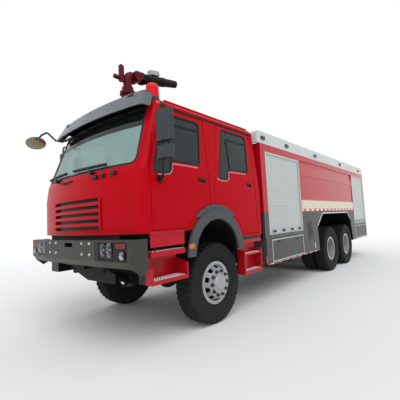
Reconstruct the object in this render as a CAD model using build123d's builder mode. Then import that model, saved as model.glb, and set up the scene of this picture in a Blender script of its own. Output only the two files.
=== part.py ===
from build123d import *
import math
import os

os.makedirs("parts", exist_ok=True)

# Fire truck, crew cab on a three-axle chassis with a pump and tank body and a roof monitor.
# Millimetres. X forward, Y left, Z up. Origin on the ground under the middle of the truck.

# Driving dimensions of the whole truck
overall_length = 10240
overall_width = 2500
front_overhang = 1585
wheelbase = 4800
bogie_spacing = 1350
front_track = 2030
rear_track = 1820
twin_spacing = 345

# Tyres and rims
tyre_radius = 562.5
tyre_width = 315
tyre_tread_width = 262
rim_radius = 262
rim_flange_radius = 298
rim_width = 228
rim_wall = 12
seat_clearance = 0.3
hand_holes = 10

# Chassis
frame_width = 830
frame_rail_height = 300
frame_rail_depth = 85
frame_rail_wall = 12
frame_top = 1150
subframe_height = 80
steer_angle_pivot = 860
kingpin_radius = 55
axle_tube_radius = 70

# Cab shell
cab_length = 2710
cab_lower_edge = 1337
crew_lower_edge = 1172
cab_belt = 2080
cab_gutter = 2925
cab_roof_top = 3010
cab_half_width = 1238
cab_front_radius = 4900
cab_corner_radius = 120
cab_wall = 60
door_skin = 26
glass_inset = 9
glass_thickness = 6
cab_setback = 85

# Doors
door_gap = 6
door_latch_gap = 12
door_inner_step = 12
front_door_front = 1225
front_door_back = 150
crew_door_front = 72
crew_door_top_front = -168
crew_door_back = -1088
front_door_bottom = 1364
crew_door_bottom = 1200
door_top = 2890
hinge_line_y = cab_half_width + 5

# Front wheel arch
arch_centre_x = 50
arch_centre_z = 975
arch_radius = 500
flare_radius = 625
flare_band_radius = 695
flare_band_top = 1668
flare_band_low = 1500
flare_lower_edge = 1000
flare_proud = 36

# Body
cab_body_gap = 100
body_top = 2790
rail_top = 3010
bay_sill = 1090
mid_sill = 1530
skirt_bottom = 616
bay_start = 160
front_bay_length = 1500
rear_bay_length = 1410
rear_bay_margin = 65
bay_post = 30
shutter_low = 1134
shutter_top = 2651
shutter_depth = 40
panel_depth = 26
rear_step_depth = 60
skirt_depth = 700
side_arch_front = 950
side_arch_top = 1466
side_arch_low = 1170

# Lower locker flaps
flap_thickness = 30
flap_gap = 6
flap_low = 640
flap_high = 1043
flap_bead = 5
flap_hinge_z = flap_low - 3
locker_depth = 260

# Roof monitor
monitor_ahead = 580
monitor_flange_z = 3500
monitor_flange_radius = 125
monitor_pipe_radius = 70
monitor_swivel_z = 3560
monitor_pivot_z = 3800
monitor_rise = 11

# Places worked out from the sizes above
bumper_x = overall_length / 2
rear_end_x = -overall_length / 2
front_axle_x = bumper_x - front_overhang
rear_axle_x = front_axle_x - wheelbase
back_axle_x = rear_axle_x - bogie_spacing
bogie_x = (rear_axle_x + back_axle_x) / 2
wheel_z = tyre_radius
side_y = overall_width / 2
cab_front_x = bumper_x - cab_setback
cab_back_x = cab_front_x - cab_length
body_front_x = cab_back_x - cab_body_gap
body_back_x = rear_end_x + rear_step_depth
front_bay = (body_front_x - bay_start - front_bay_length, body_front_x - bay_start)
rear_bay = (body_back_x + rear_bay_margin, body_back_x + rear_bay_margin + rear_bay_length)
mid_body = (rear_bay[1] + bay_post, front_bay[0] - bay_post)
rail_y = frame_width / 2
rail_bottom = frame_top - frame_rail_height
deck_z = frame_top + subframe_height


def block(xs, ys, zs, mode=Mode.ADD):
    """A cuboid between two corners, put into the part being built."""
    centre = ((xs[0] + xs[1]) / 2, (ys[0] + ys[1]) / 2, (zs[0] + zs[1]) / 2)
    with Locations(centre):
        Box(abs(xs[1] - xs[0]), abs(ys[1] - ys[0]), abs(zs[1] - zs[0]), mode=mode)


def rod(start, end, radius, mode=Mode.ADD):
    """A round bar from one point to another, put into the part being built."""
    run = Vector(*end) - Vector(*start)
    with BuildSketch(Plane(origin=start, z_dir=run)) as disc:
        Circle(radius)
    extrude(disc.sketch, amount=run.length, mode=mode)


def plate_xz(points, y_low, y_high, mode=Mode.ADD):
    """A plate with its outline drawn in X and Z, from one Y to another."""
    with BuildSketch(Plane.XZ.offset(-y_high)) as face:
        with BuildLine():
            Polyline(*points, close=True)
        make_face()
    extrude(face.sketch, amount=y_high - y_low, mode=mode)


def save(part, name):
    """Names a finished piece and writes it."""
    part.label = name
    export_step(part, f"parts/{name}.step")


def mirrored(part):
    """The same piece on the right-hand side."""
    return mirror(part, about=Plane.XZ)


# Tyres. Each is one closed ring with bulged sides, a flat tread and rounded shoulders.
def tyre_ring(middle_y):
    bead, half, tread = rim_width / 2 - 4, tyre_width / 2, tyre_tread_width / 2
    seat = rim_radius + seat_clearance
    with BuildPart() as ring:
        with BuildSketch(Plane.XZ):
            with BuildLine():
                Line((seat, -bead), (seat, bead))
                Line((seat, bead), (rim_flange_radius + 6, bead))
                ThreePointArc((rim_flange_radius + 6, bead), (rim_flange_radius + 110, half),
                              (tyre_radius - 26, tread + 12))
                Line((tyre_radius - 26, tread + 12), (tyre_radius, tread - 20))
                Line((tyre_radius, tread - 20), (tyre_radius, 20 - tread))
                Line((tyre_radius, 20 - tread), (tyre_radius - 26, -tread - 12))
                ThreePointArc((tyre_radius - 26, -tread - 12), (rim_flange_radius + 110, -half),
                              (rim_flange_radius + 6, -bead))
                Line((rim_flange_radius + 6, -bead), (seat, -bead))
            make_face()
        revolve(axis=Axis.Z)
    turned = ring.part.rotate(Axis.X, -90)
    return turned.moved(Location((0, middle_y, wheel_z)))


# Rims. A profile of places along the axle and radii is turned about the axle; outboard is positive.
def rim_turned(profile):
    with BuildPart() as turned_part:
        with BuildSketch(Plane.XZ):
            with BuildLine():
                Polyline(*[(radius, along) for along, radius in profile], close=True)
            make_face()
        revolve(axis=Axis.Z)
    return turned_part.part


def rim_barrel():
    half = rim_width / 2
    return [(-half - 8, rim_flange_radius), (-half, rim_flange_radius), (-half, rim_radius),
            (half, rim_radius), (half, rim_flange_radius), (half + 8, rim_flange_radius),
            (half + 8, rim_radius - rim_wall), (-half - 8, rim_radius - rim_wall)]


disc_bore = 141
front_disc_out = 178
front_hub_out = 205
spindle_radius = 60

with BuildPart() as front_wheel_shape:
    add(rim_turned(rim_barrel()))
    add(rim_turned([(60, rim_radius - rim_wall + 2), (74, rim_radius - rim_wall + 2),
                    (front_disc_out, 205), (front_disc_out, disc_bore - 4),
                    (front_disc_out - 14, disc_bore - 4), (front_disc_out - 14, 200)]))
    add(rim_turned([(-60, spindle_radius + seat_clearance), (-60, 190), (-20, 190),
                    (20, disc_bore), (front_disc_out + 12, disc_bore), (front_disc_out + 12, 118),
                    (front_hub_out - 14, 104), (front_hub_out, 88), (front_hub_out, 0),
                    (110, 0), (110, spindle_radius + seat_clearance)]))
    with BuildSketch(Plane.XY.offset(20)):
        with PolarLocations(222, hand_holes, start_angle=18):
            SlotOverall(72, 40, rotation=90)
    extrude(amount=front_disc_out, mode=Mode.SUBTRACT)
    with BuildSketch(Plane.XY.offset(front_disc_out)):
        with PolarLocations(168, hand_holes):
            RegularPolygon(17, 6)
    extrude(amount=22)

rear_hub_out = 165
with BuildPart() as twin_wheel_shape:
    for row in (-twin_spacing / 2, twin_spacing / 2):
        with Locations((0, 0, row)):
            add(rim_turned(rim_barrel()))
    add(rim_turned([(-7, 165), (-7, 215), (-40, rim_radius - rim_wall + 2), (-58, rim_radius - rim_wall + 2),
                    (-22, 205), (-22, 165)]))
    add(rim_turned([(7, 165), (7, 215), (40, rim_radius - rim_wall + 2), (58, rim_radius - rim_wall + 2),
                    (22, 205), (22, 165)]))
    add(rim_turned([(-190, axle_tube_radius + seat_clearance), (-190, 205), (-60, 205), (-40, 170),
                    (44, 170), (44, 138), (rear_hub_out - 14, 122), (rear_hub_out, 100), (rear_hub_out, 0),
                    (120, 0), (120, axle_tube_radius + seat_clearance)]))
    for row in (-88, -8):
        with BuildSketch(Plane.XY.offset(row)):
            with PolarLocations(228, hand_holes, start_angle=18):
                SlotOverall(64, 36, rotation=90)
        extrude(amount=80, mode=Mode.SUBTRACT)
    with BuildSketch(Plane.XY.offset(22)):
        with PolarLocations(190, hand_holes):
            RegularPolygon(15, 6)
    extrude(amount=20)


def wheel_at(shape, x, middle_y):
    """A wheel turned about +Z is laid on its axle, outboard side away from the truck."""
    side = 1 if middle_y > 0 else -1
    laid = shape.rotate(Axis.X, -90 * side)
    return laid.moved(Location((x, middle_y, wheel_z)))


for side, word in ((1, "left"), (-1, "right")):
    save(wheel_at(front_wheel_shape.part, front_axle_x, side * front_track / 2), f"front_rim_{word}")
    save(tyre_ring(side * front_track / 2).moved(Location((front_axle_x, 0, 0))), f"front_tyre_{word}")
    for axle_x, axle_word in ((rear_axle_x, "middle"), (back_axle_x, "rear")):
        save(wheel_at(twin_wheel_shape.part, axle_x, side * rear_track / 2), f"{axle_word}_rims_{word}")
        with BuildPart() as pair:
            for row in (-twin_spacing / 2, twin_spacing / 2):
                add(tyre_ring(side * rear_track / 2 + row).moved(Location((axle_x, 0, 0))))
        save(pair.part, f"{axle_word}_tyres_{word}")


# Front axle. A driven axle: bowl for the gears, tubes, and a fork at each end for the kingpin.
fork_reach = 105
fork_ear = 34
kingpin_half = 104
ear_radius = 58

with BuildPart() as front_axle:
    rod((front_axle_x, -steer_angle_pivot + fork_reach, wheel_z), (front_axle_x, steer_angle_pivot - fork_reach,
        wheel_z), axle_tube_radius)
    with Locations((front_axle_x, 130, wheel_z)):
        Sphere(170)
    for side in (1, -1):
        inner = side * (steer_angle_pivot - fork_reach)
        block((front_axle_x - 70, front_axle_x + 70), (inner - side * 34, inner),
              (wheel_z - kingpin_half - fork_ear, wheel_z + kingpin_half + fork_ear))
        for ear in (1, -1):
            low = wheel_z + ear * kingpin_half
            block((front_axle_x - ear_radius, front_axle_x + ear_radius), (inner, side * steer_angle_pivot),
                  (low, low + ear * fork_ear))
            rod((front_axle_x, side * steer_angle_pivot, low),
                (front_axle_x, side * steer_angle_pivot, low + ear * fork_ear), ear_radius)
        block((front_axle_x - 75, front_axle_x + 75), (side * (rail_y - 96), side * (rail_y - 4)),
              (wheel_z + 40, wheel_z + 92))
save(front_axle.part, "front_axle")

# Steering knuckles. A barrel between the fork's ears, the wheel's spindle, a brake plate and an arm.
arm_length = 165
arm_half = 26
arm_eye_y = steer_angle_pivot - 20
arm_z = 480
arm_thickness = 22
with BuildPart() as knuckle:
    rod((front_axle_x, steer_angle_pivot, wheel_z - kingpin_half + seat_clearance),
        (front_axle_x, steer_angle_pivot, wheel_z + kingpin_half - seat_clearance), kingpin_radius)
    rod((front_axle_x, steer_angle_pivot, wheel_z), (front_axle_x, front_track / 2 + 105, wheel_z), spindle_radius)
    rod((front_axle_x, steer_angle_pivot + 66, wheel_z), (front_axle_x, steer_angle_pivot + 78, wheel_z), 205)
    with BuildSketch(Plane.XY.offset(arm_z)):
        with BuildLine():
            Polyline((front_axle_x, steer_angle_pivot - arm_half), (front_axle_x, steer_angle_pivot + arm_half),
                     (front_axle_x - arm_length, arm_eye_y + arm_half),
                     (front_axle_x - arm_length, arm_eye_y - arm_half), close=True)
        make_face()
        with Locations((front_axle_x - arm_length, arm_eye_y)):
            Circle(arm_half)
    extrude(amount=arm_thickness)
save(knuckle.part, "knuckle_left")
save(mirrored(knuckle.part), "knuckle_right")

with BuildPart() as track_rod:
    rod((front_axle_x - arm_length, -arm_eye_y, arm_z - 45),
        (front_axle_x - arm_length, arm_eye_y, arm_z - 45), 20)
    for side in (1, -1):
        rod((front_axle_x - arm_length, side * arm_eye_y, arm_z - 72),
            (front_axle_x - arm_length, side * arm_eye_y, arm_z - seat_clearance), 26)
save(track_rod.part, "track_rod")

# Rear axles. Bowl, tubes to the hubs, and a torque bracket on top of each.
with BuildPart() as rear_axles:
    for axle_x in (rear_axle_x, back_axle_x):
        rod((axle_x, -rear_track / 2 - 118, wheel_z), (axle_x, rear_track / 2 + 118, wheel_z), axle_tube_radius)
        with Locations((axle_x, 0, wheel_z)):
            Sphere(205)
        for side in (1, -1):
            block((axle_x - 80, axle_x + 80), (side * (rail_y + 10), side * (rail_y + 100)),
                  (wheel_z + 40, wheel_z + 90))
save(rear_axles.part, "rear_axles")


# Leaf springs. Stacked curved leaves, each a little shorter than the one above it.
def leaf_pack(centre_x, centre_z, half_length, sag, leaves, thickness, low_y, high_y):
    with BuildPart() as pack:
        for leaf in range(leaves):
            half = half_length * (1 - 0.085 * leaf)
            rise = sag * (half / half_length) ** 2
            base = centre_z - thickness * leaf * math.copysign(1, sag)
            ends = [(centre_x - half, base + rise), (centre_x, base), (centre_x + half, base + rise)]
            over = [(x, z + thickness) for x, z in ends]
            with BuildSketch(Plane.XZ.offset(-high_y)):
                with BuildLine():
                    ThreePointArc(*ends)
                    Line(ends[2], over[2])
                    ThreePointArc(over[2], over[1], over[0])
                    Line(over[0], ends[0])
                make_face()
            extrude(amount=high_y - low_y)
    return pack.part


leaf_thickness = 20
front_spring_z = wheel_z + 92
front_sag = 85
with BuildPart() as front_spring_left:
    add(leaf_pack(front_axle_x, front_spring_z + 4 * leaf_thickness, 700, front_sag, 5, leaf_thickness,
                  rail_y - 90, rail_y - 10))
    for end in (-1, 1):
        eye_x = front_axle_x + end * 700
        eye_z = front_spring_z + 4 * leaf_thickness + front_sag
        block((eye_x - 40, eye_x + 40), (rail_y - 100, rail_y), (eye_z - 20, rail_bottom))

bogie_spring_z = wheel_z + 90
bogie_rise = 130
with BuildPart() as bogie_left:
    add(leaf_pack(bogie_x, bogie_spring_z + bogie_rise, bogie_spacing / 2 + 60, -bogie_rise, 6, leaf_thickness,
                  rail_y + 14, rail_y + 96))
    block((bogie_x - 110, bogie_x + 110), (rail_y + 1, rail_y + 110), (wheel_z + 20, bogie_spring_z + bogie_rise))
    rod((bogie_x, rail_y - 60, wheel_z + 80), (bogie_x, rail_y + 120, wheel_z + 80), 75)
    block((bogie_x - 160, bogie_x + 160), (rail_y - 60, rail_y - 1), (wheel_z + 20, rail_bottom))
with BuildPart() as springs:
    for spring in (front_spring_left.part, bogie_left.part):
        add(spring)
        add(mirrored(spring))
save(springs.part, "leaf_springs")


# Chassis frame. Two channels, crossmembers, the body's bearers, tow jaws and the front guard.
def channel(side):
    with BuildPart() as rail:
        block((rear_end_x + 160, cab_front_x - 160), (side * (rail_y - frame_rail_depth), side * rail_y),
              (rail_bottom, frame_top))
        block((rear_end_x + 159, cab_front_x - 159), (side * (rail_y - frame_rail_depth - 1),
              side * (rail_y - frame_rail_wall)),
              (rail_bottom + frame_rail_wall, frame_top - frame_rail_wall), mode=Mode.SUBTRACT)
    return rail.part


crossmembers = [cab_front_x - 200, front_axle_x - 1250, body_front_x - 700, rear_axle_x + 800, bogie_x,
                back_axle_x - 700, rear_end_x + 200]
cab_mounts = [cab_front_x - 420, cab_back_x + 300]
bearers = [body_front_x - 300, front_bay[0] - 300, rear_axle_x + 500, back_axle_x - 200, rear_bay[1] - 300]
guard_x = cab_front_x - 185
jaw_radius = 16
jaw_gap = 54
jaw_ear = 22
jaw_half = 50
front_jaw_z = 1223
front_jaw_x = bumper_x - 46
rear_jaw_z = frame_top - frame_rail_height / 2
rear_jaw_x = rear_end_x + 36
jaw_reach = jaw_gap / 2 + jaw_ear
inside = rail_y - frame_rail_wall

with BuildPart() as chassis:
    for side in (1, -1):
        add(channel(side))
        block((body_back_x + 100, body_front_x - 60), (side * (rail_y - 80), side * rail_y), (frame_top, deck_z))
    for x in crossmembers:
        block((x - 40, x + 40), (-inside, inside), (rail_bottom + 40, frame_top - 40))
    for x in bearers:
        block((x - 40, x + 40), (-rail_y - 30, rail_y + 30), (deck_z - 20, deck_z))
    for x in cab_mounts:
        for side in (1, -1):
            block((x - 60, x + 60), (side * (rail_y - 80), side * rail_y), (frame_top - 10, cab_lower_edge + 2))
    block((cab_front_x - 250, front_jaw_x - 130 - seat_clearance), (-60, 60), (rail_bottom + 40, frame_top - 60))
    with BuildSketch(Plane.YZ.offset(guard_x)) as guard:
        with BuildLine():
            Polyline((-430, 900), (-340, 839), (0, 735), (640, 735), (640, 860), (430, 900), close=True)
        make_face()
    extrude(guard.sketch, amount=12)
    for side in (1, -1):
        block((guard_x - 40, guard_x + 2), (side * (rail_y - 80), side * rail_y), (800, rail_bottom + 20))
save(chassis.part, "chassis_frame")

# Tow jaws bolted on the frame's two ends, each with two ears and a bore through both for the pin.
with BuildPart() as tow_jaws:
    for ear in (1, -1):
        near, far = ear * jaw_gap / 2, ear * jaw_reach
        block((front_jaw_x - 90, front_jaw_x + 30), (-jaw_half, jaw_half), (front_jaw_z + near, front_jaw_z + far))
        block((rear_jaw_x - 26, rear_jaw_x + 80), (-jaw_half, jaw_half), (rear_jaw_z + near, rear_jaw_z + far))
    block((front_jaw_x - 130, front_jaw_x - 76), (-70, 70), (frame_top - 150, front_jaw_z + jaw_reach))
    block((rear_jaw_x + 70, rear_end_x + 160 - seat_clearance), (-70, 70),
          (rear_jaw_z - jaw_reach, rear_jaw_z + jaw_reach))
    for x, z in ((front_jaw_x, front_jaw_z), (rear_jaw_x, rear_jaw_z)):
        rod((x, 0, z - jaw_reach - 10), (x, 0, z + jaw_reach + 10), jaw_radius, mode=Mode.SUBTRACT)
save(tow_jaws.part, "tow_jaws")

# Engine under the cab and the drive line down the middle of the chassis.
engine_top = 1720
with BuildPart() as drive:
    block((front_axle_x - 350, front_axle_x + 900), (-290, 290), (790, engine_top - 40))
    block((front_axle_x - 1000, front_axle_x - 350), (-200, 200), (800, 1200))
    block((front_axle_x - 1900, front_axle_x - 1500), (-230, 230), (640, 1080))
    rod((front_axle_x - 990, 0, 830), (front_axle_x - 1510, 0, 830), 55)
    rod((front_axle_x - 1890, 0, 700), (rear_axle_x + 205 + seat_clearance, 0, wheel_z + 40), 55)
    rod((rear_axle_x - 205 - seat_clearance, 0, wheel_z + 20),
        (back_axle_x + 205 + seat_clearance, 0, wheel_z + 20), 50)
    for side in (1, -1):
        block((front_axle_x + 200, front_axle_x + 300), (side * 280, side * (rail_y - frame_rail_wall)), (900, 960))
        block((front_axle_x - 1750, front_axle_x - 1650), (side * 220, side * (rail_y - frame_rail_wall)),
              (900, 960))
save(drive.part, "drive_line")


# Cab shell. Level sections from the sill to the roof: height, front at the middle, half width.
cab_sections = [
    (crew_lower_edge, cab_front_x, cab_half_width),
    (1860, cab_front_x, cab_half_width),
    (cab_belt, cab_front_x - 28, cab_half_width - 14),
    (cab_gutter, cab_front_x - 350, cab_half_width - 91),
    (cab_roof_top, cab_front_x - 395, cab_half_width - 150),
]


def cab_body(inset, bottom, top):
    """The cab's whole outer form, drawn in by inset, cut level at bottom and top."""
    with BuildPart() as form:
        for z, front, half in cab_sections:
            half_in = half - inset
            front_in = front - inset
            side_front = front_in - half_in ** 2 / (2 * cab_front_radius)
            with BuildSketch(Plane.XY.offset(z)) as outline:
                with BuildLine():
                    ThreePointArc((side_front, -half_in), (front_in, 0), (side_front, half_in))
                    Polyline((side_front, half_in), (cab_back_x + inset, half_in),
                             (cab_back_x + inset, -half_in), (side_front, -half_in))
                make_face()
                fillet(outline.vertices().group_by(Axis.X)[-1], cab_corner_radius)
        loft(ruled=True)
        low, high = crew_lower_edge - 50, cab_roof_top + 50
        if bottom > crew_lower_edge:
            block((cab_back_x - 50, cab_front_x + 50), (-side_y, side_y), (low, bottom), mode=Mode.SUBTRACT)
        if top < cab_roof_top:
            block((cab_back_x - 50, cab_front_x + 50), (-side_y, side_y), (top, high), mode=Mode.SUBTRACT)
    return form.part


roof_under = cab_roof_top - cab_wall
cab_outer = cab_body(0, crew_lower_edge, cab_roof_top)
cab_skin = cab_body(door_skin, crew_lower_edge, cab_roof_top)
cab_hollow = cab_body(cab_wall, crew_lower_edge, roof_under)
glass_outer = cab_body(glass_inset, cab_lower_edge, cab_gutter)
glass_inner = cab_body(glass_inset + glass_thickness, cab_lower_edge, cab_gutter)

with BuildPart() as cab_wall_shell:
    add(cab_outer)
    add(cab_hollow, mode=Mode.SUBTRACT)
with BuildPart() as cab_outer_layer:
    add(cab_outer)
    add(cab_skin, mode=Mode.SUBTRACT)
with BuildPart() as cab_inner_layer:
    add(cab_skin)
    add(cab_hollow, mode=Mode.SUBTRACT)
with BuildPart() as glass_shell:
    add(glass_outer)
    add(glass_inner, mode=Mode.SUBTRACT)

arch_x = front_axle_x + arch_centre_x
pillar_slope = 0.33
door_front_x = front_axle_x + front_door_front
door_back_x = front_axle_x + front_door_back
crew_front_x = front_axle_x + crew_door_front
crew_back_x = front_axle_x + crew_door_back
pillar_top_x = door_front_x - 15 - (door_top - 2120) * pillar_slope


def door_outline(which, shrink, latch_shrink):
    """A door's outline in X and Z, drawn in all round, and by more at its latch edge."""
    if which == "front":
        points = [(door_front_x - shrink, front_door_bottom + shrink),
                  (door_front_x - shrink, 2120), (pillar_top_x - shrink, door_top - shrink),
                  (door_back_x + latch_shrink, door_top - shrink),
                  (door_back_x + latch_shrink, front_door_bottom + shrink)]
    else:
        points = [(crew_front_x - shrink, crew_door_bottom + shrink), (crew_front_x - shrink, 1805),
                  (front_axle_x + crew_door_top_front - shrink, door_top - shrink),
                  (crew_back_x + latch_shrink, door_top - shrink),
                  (crew_back_x + latch_shrink, crew_door_bottom + shrink)]
    with BuildSketch(Plane.XZ.offset(-side_y)) as face:
        with BuildLine():
            Polyline(*points, close=True)
        make_face()
        with Locations((arch_x, arch_centre_z)):
            Circle(flare_band_radius + shrink, mode=Mode.SUBTRACT)
        with Locations((arch_x, arch_centre_z - 300)):
            Rectangle(2 * (flare_band_radius + shrink), 600, mode=Mode.SUBTRACT)
    return face.sketch


def window_outline(which, grow):
    """A door window's outline in X and Z, grown all round."""
    if which == "front":
        corners = [(1160, 2042, 40), (1120, 2230, 30), (940, 2828, 50), (230, 2828, 70), (312, 2206, 45),
                   (850, 2206, 12), (850, 2042, 50)]
    else:
        corners = [(-75, 2040, 60), (-285, 2845, 50), (-985, 2845, 80), (-915, 2203, 45), (-395, 2203, 12),
                   (-345, 2040, 50)]
    with BuildSketch(Plane.XZ.offset(-side_y)) as face:
        with BuildLine():
            FilletPolyline(*[(front_axle_x + x, z) for x, z, radius in corners],
                           radius=[radius for x, z, radius in corners], close=True)
        make_face()
        if grow:
            offset(amount=grow)
    return face.sketch


side_reach = side_y - 1000


def side_slab(face):
    """The left-hand slab of space behind an outline drawn in X and Z."""
    with BuildPart() as slab:
        extrude(face, amount=side_reach, dir=(0, -1, 0))
    return slab.part


window_seat = 0.2
door_parts = {}
for which in ("front", "crew"):
    whole = side_slab(door_outline(which, 0, 0))
    skin = side_slab(door_outline(which, door_gap, door_latch_gap))
    lining = side_slab(door_outline(which, door_gap, door_latch_gap + door_inner_step))
    window = side_slab(window_outline(which, 0))
    pane = side_slab(window_outline(which, -window_seat))
    door_parts[which] = (whole, skin, lining, window, pane)

handle_z = 2000
handles = {"front": front_axle_x + 313, "crew": front_axle_x - 900}
for which, words in (("front", "door"), ("crew", "crew_door")):
    whole, skin, lining, window, pane = door_parts[which]
    with BuildPart() as outer_half:
        add(skin)
        add(window, mode=Mode.SUBTRACT)
        add(cab_outer_layer.part, mode=Mode.INTERSECT)
    with BuildPart() as inner_half:
        add(lining)
        add(window, mode=Mode.SUBTRACT)
        add(cab_inner_layer.part, mode=Mode.INTERSECT)
    with BuildPart() as door:
        add(outer_half.part)
        add(inner_half.part)
        grip_x = handles[which]
        block((grip_x - 74, grip_x + 74), (cab_half_width - 34, cab_half_width - 2), (handle_z - 32, handle_z + 32),
              mode=Mode.SUBTRACT)
        block((grip_x - 66, grip_x + 66), (cab_half_width - 14, cab_half_width - 4), (handle_z + 2, handle_z + 22))
        block((grip_x + 40, grip_x + 66), (cab_half_width - 36, cab_half_width - 10), (handle_z + 2, handle_z + 22))
        block((grip_x - 66, grip_x - 40), (cab_half_width - 36, cab_half_width - 10), (handle_z + 2, handle_z + 22))
    with BuildPart() as glass:
        add(glass_shell.part)
        add(pane, mode=Mode.INTERSECT)
    save(door.part, f"{words}_left")
    save(mirrored(door.part), f"{words}_right")
    save(glass.part, f"{words}_glass_left")
    save(mirrored(glass.part), f"{words}_glass_right")

# Cab panels, each the stretch of the shell between the real panel joints.
roof_split = cab_gutter - 5
back_split = cab_back_x + cab_wall
floor_z = cab_lower_edge + 55
screen_low = 2150
screen_top = 2910
screen_half_low = 1110
screen_half_top = 1010
grille_half = 600
grille_low = 1400
grille_top = 1790


def screen_outline(grow):
    """The windscreen's outline in Y and Z, grown all round."""
    corners = [(-screen_half_low, screen_low, 90), (-screen_half_top, screen_top, 60),
               (screen_half_top, screen_top, 60), (screen_half_low, screen_low, 90)]
    with BuildSketch(Plane.YZ.offset(front_axle_x + 700)) as face:
        with BuildLine():
            FilletPolyline(*[(y, z) for y, z, radius in corners], radius=[r for y, z, r in corners], close=True)
        make_face()
        if grow:
            offset(amount=grow)
    return face.sketch


with BuildPart() as screen_space:
    extrude(screen_outline(0), amount=1200, dir=(1, 0, 0))
with BuildPart() as screen_pane:
    extrude(screen_outline(-window_seat), amount=1200, dir=(1, 0, 0))

front_zone = [(door_front_x, crew_lower_edge - 10), (door_front_x, 2120), (pillar_top_x, door_top),
              (pillar_top_x - (roof_split - door_top) * pillar_slope, roof_split), (cab_front_x + 60, roof_split),
              (cab_front_x + 60, crew_lower_edge - 10)]
with BuildPart() as front_space:
    plate_xz(front_zone, -side_y, side_y)

with BuildPart() as cab_front:
    add(cab_wall_shell.part)
    add(front_space.part, mode=Mode.INTERSECT)
    block((cab_back_x, cab_front_x + 60), (-side_y, side_y), (crew_lower_edge - 10, cab_lower_edge),
          mode=Mode.SUBTRACT)
    add(screen_space.part, mode=Mode.SUBTRACT)
    block((cab_front_x - 300, cab_front_x + 60), (-grille_half, grille_half), (grille_low, grille_top),
          mode=Mode.SUBTRACT)
save(cab_front.part, "cab_front")

with BuildPart() as windscreen:
    add(glass_shell.part)
    add(screen_pane.part, mode=Mode.INTERSECT)
save(windscreen.part, "windscreen")

gutter_lip = 16
rear_window_half = 500
rear_window_z = (2250, 2700)
with BuildPart() as cab_roof:
    add(cab_wall_shell.part)
    block((cab_back_x - 60, cab_front_x + 60), (-side_y, side_y), (crew_lower_edge - 10, roof_split),
          mode=Mode.SUBTRACT)
    for side in (1, -1):
        lip = cab_half_width - 91
        block((cab_back_x + 20, pillar_top_x - 60), (side * (lip - 20), side * (lip + gutter_lip)),
              (roof_split, roof_split + 12))
save(cab_roof.part, "cab_roof")

with BuildPart() as cab_back:
    add(cab_wall_shell.part)
    block((back_split, cab_front_x + 60), (-side_y, side_y), (crew_lower_edge - 10, cab_roof_top + 10),
          mode=Mode.SUBTRACT)
    block((cab_back_x - 60, cab_front_x + 60), (-side_y, side_y), (roof_split, cab_roof_top + 10),
          mode=Mode.SUBTRACT)
    block((cab_back_x - 60, cab_front_x + 60), (-900, 900), (crew_lower_edge - 10, cab_lower_edge),
          mode=Mode.SUBTRACT)
    block((cab_back_x - 60, back_split + 60), (-rear_window_half, rear_window_half), rear_window_z,
          mode=Mode.SUBTRACT)
save(cab_back.part, "cab_back")

with BuildPart() as rear_window:
    block((cab_back_x + 20, cab_back_x + 20 + glass_thickness),
          (-rear_window_half + window_seat, rear_window_half - window_seat),
          (rear_window_z[0] + window_seat, rear_window_z[1] - window_seat))
save(rear_window.part, "rear_window")

with BuildPart() as cab_side:
    add(cab_wall_shell.part)
    block((cab_back_x - 60, cab_front_x + 60), (-side_y, 600), (crew_lower_edge - 10, cab_roof_top + 10),
          mode=Mode.SUBTRACT)
    block((cab_back_x - 60, cab_front_x + 60), (0, side_y), (roof_split, cab_roof_top + 10), mode=Mode.SUBTRACT)
    block((cab_back_x - 60, back_split), (0, side_y), (crew_lower_edge - 10, cab_roof_top), mode=Mode.SUBTRACT)
    add(front_space.part, mode=Mode.SUBTRACT)
    add(door_parts["front"][0], mode=Mode.SUBTRACT)
    add(door_parts["crew"][0], mode=Mode.SUBTRACT)
    block((arch_x, cab_front_x + 60), (0, side_y), (crew_lower_edge - 10, cab_lower_edge), mode=Mode.SUBTRACT)
    with BuildSketch(Plane.XZ.offset(-side_y)):
        with Locations((arch_x, arch_centre_z)):
            Circle(arch_radius)
        with Locations((arch_x, arch_centre_z - 200)):
            Rectangle(2 * arch_radius, 400)
    extrude(amount=side_reach, mode=Mode.SUBTRACT)
with BuildPart() as cab_sides:
    add(cab_side.part)
    add(mirrored(cab_side.part))
save(cab_sides.part, "cab_sides")

# Cab floor, with the arches over the front wheels and the raised cover over the engine.
floor_edge = cab_half_width - cab_wall - 1
cover_half = 370
cover_top = engine_top + 30
arch_house_y = 700
with BuildPart() as cab_floor:
    add(cab_hollow)
    block((cab_back_x, cab_front_x), (-side_y, side_y), (crew_lower_edge - 10, cab_lower_edge + 2),
          mode=Mode.SUBTRACT)
    block((cab_back_x, cab_front_x), (-side_y, side_y), (floor_z, cab_roof_top), mode=Mode.SUBTRACT)
    block((front_axle_x - 520, cab_front_x - 190), (-cover_half, cover_half), (floor_z - 20, cover_top))
    block((front_axle_x - 480, cab_front_x - 230), (-cover_half + 40, cover_half - 40), (cab_lower_edge, cover_top - 30),
          mode=Mode.SUBTRACT)
    for side in (1, -1):
        block((arch_x - 460, arch_x + 460), (side * arch_house_y, side * floor_edge), (floor_z - 20, 1540))
        with BuildSketch(Plane.XZ.offset(-side_y)):
            with Locations((arch_x, arch_centre_z)):
                Circle(arch_radius + 12)
        extrude(amount=2 * side_y, mode=Mode.SUBTRACT)
save(cab_floor.part, "cab_floor")

# Grille. Curved red slats with open slots between them, in front of a dark back plate.
slot_count = 5
slot_height = 44
slot_pitch = 85
grille_proud = 22
slat_depth = 46


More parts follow.
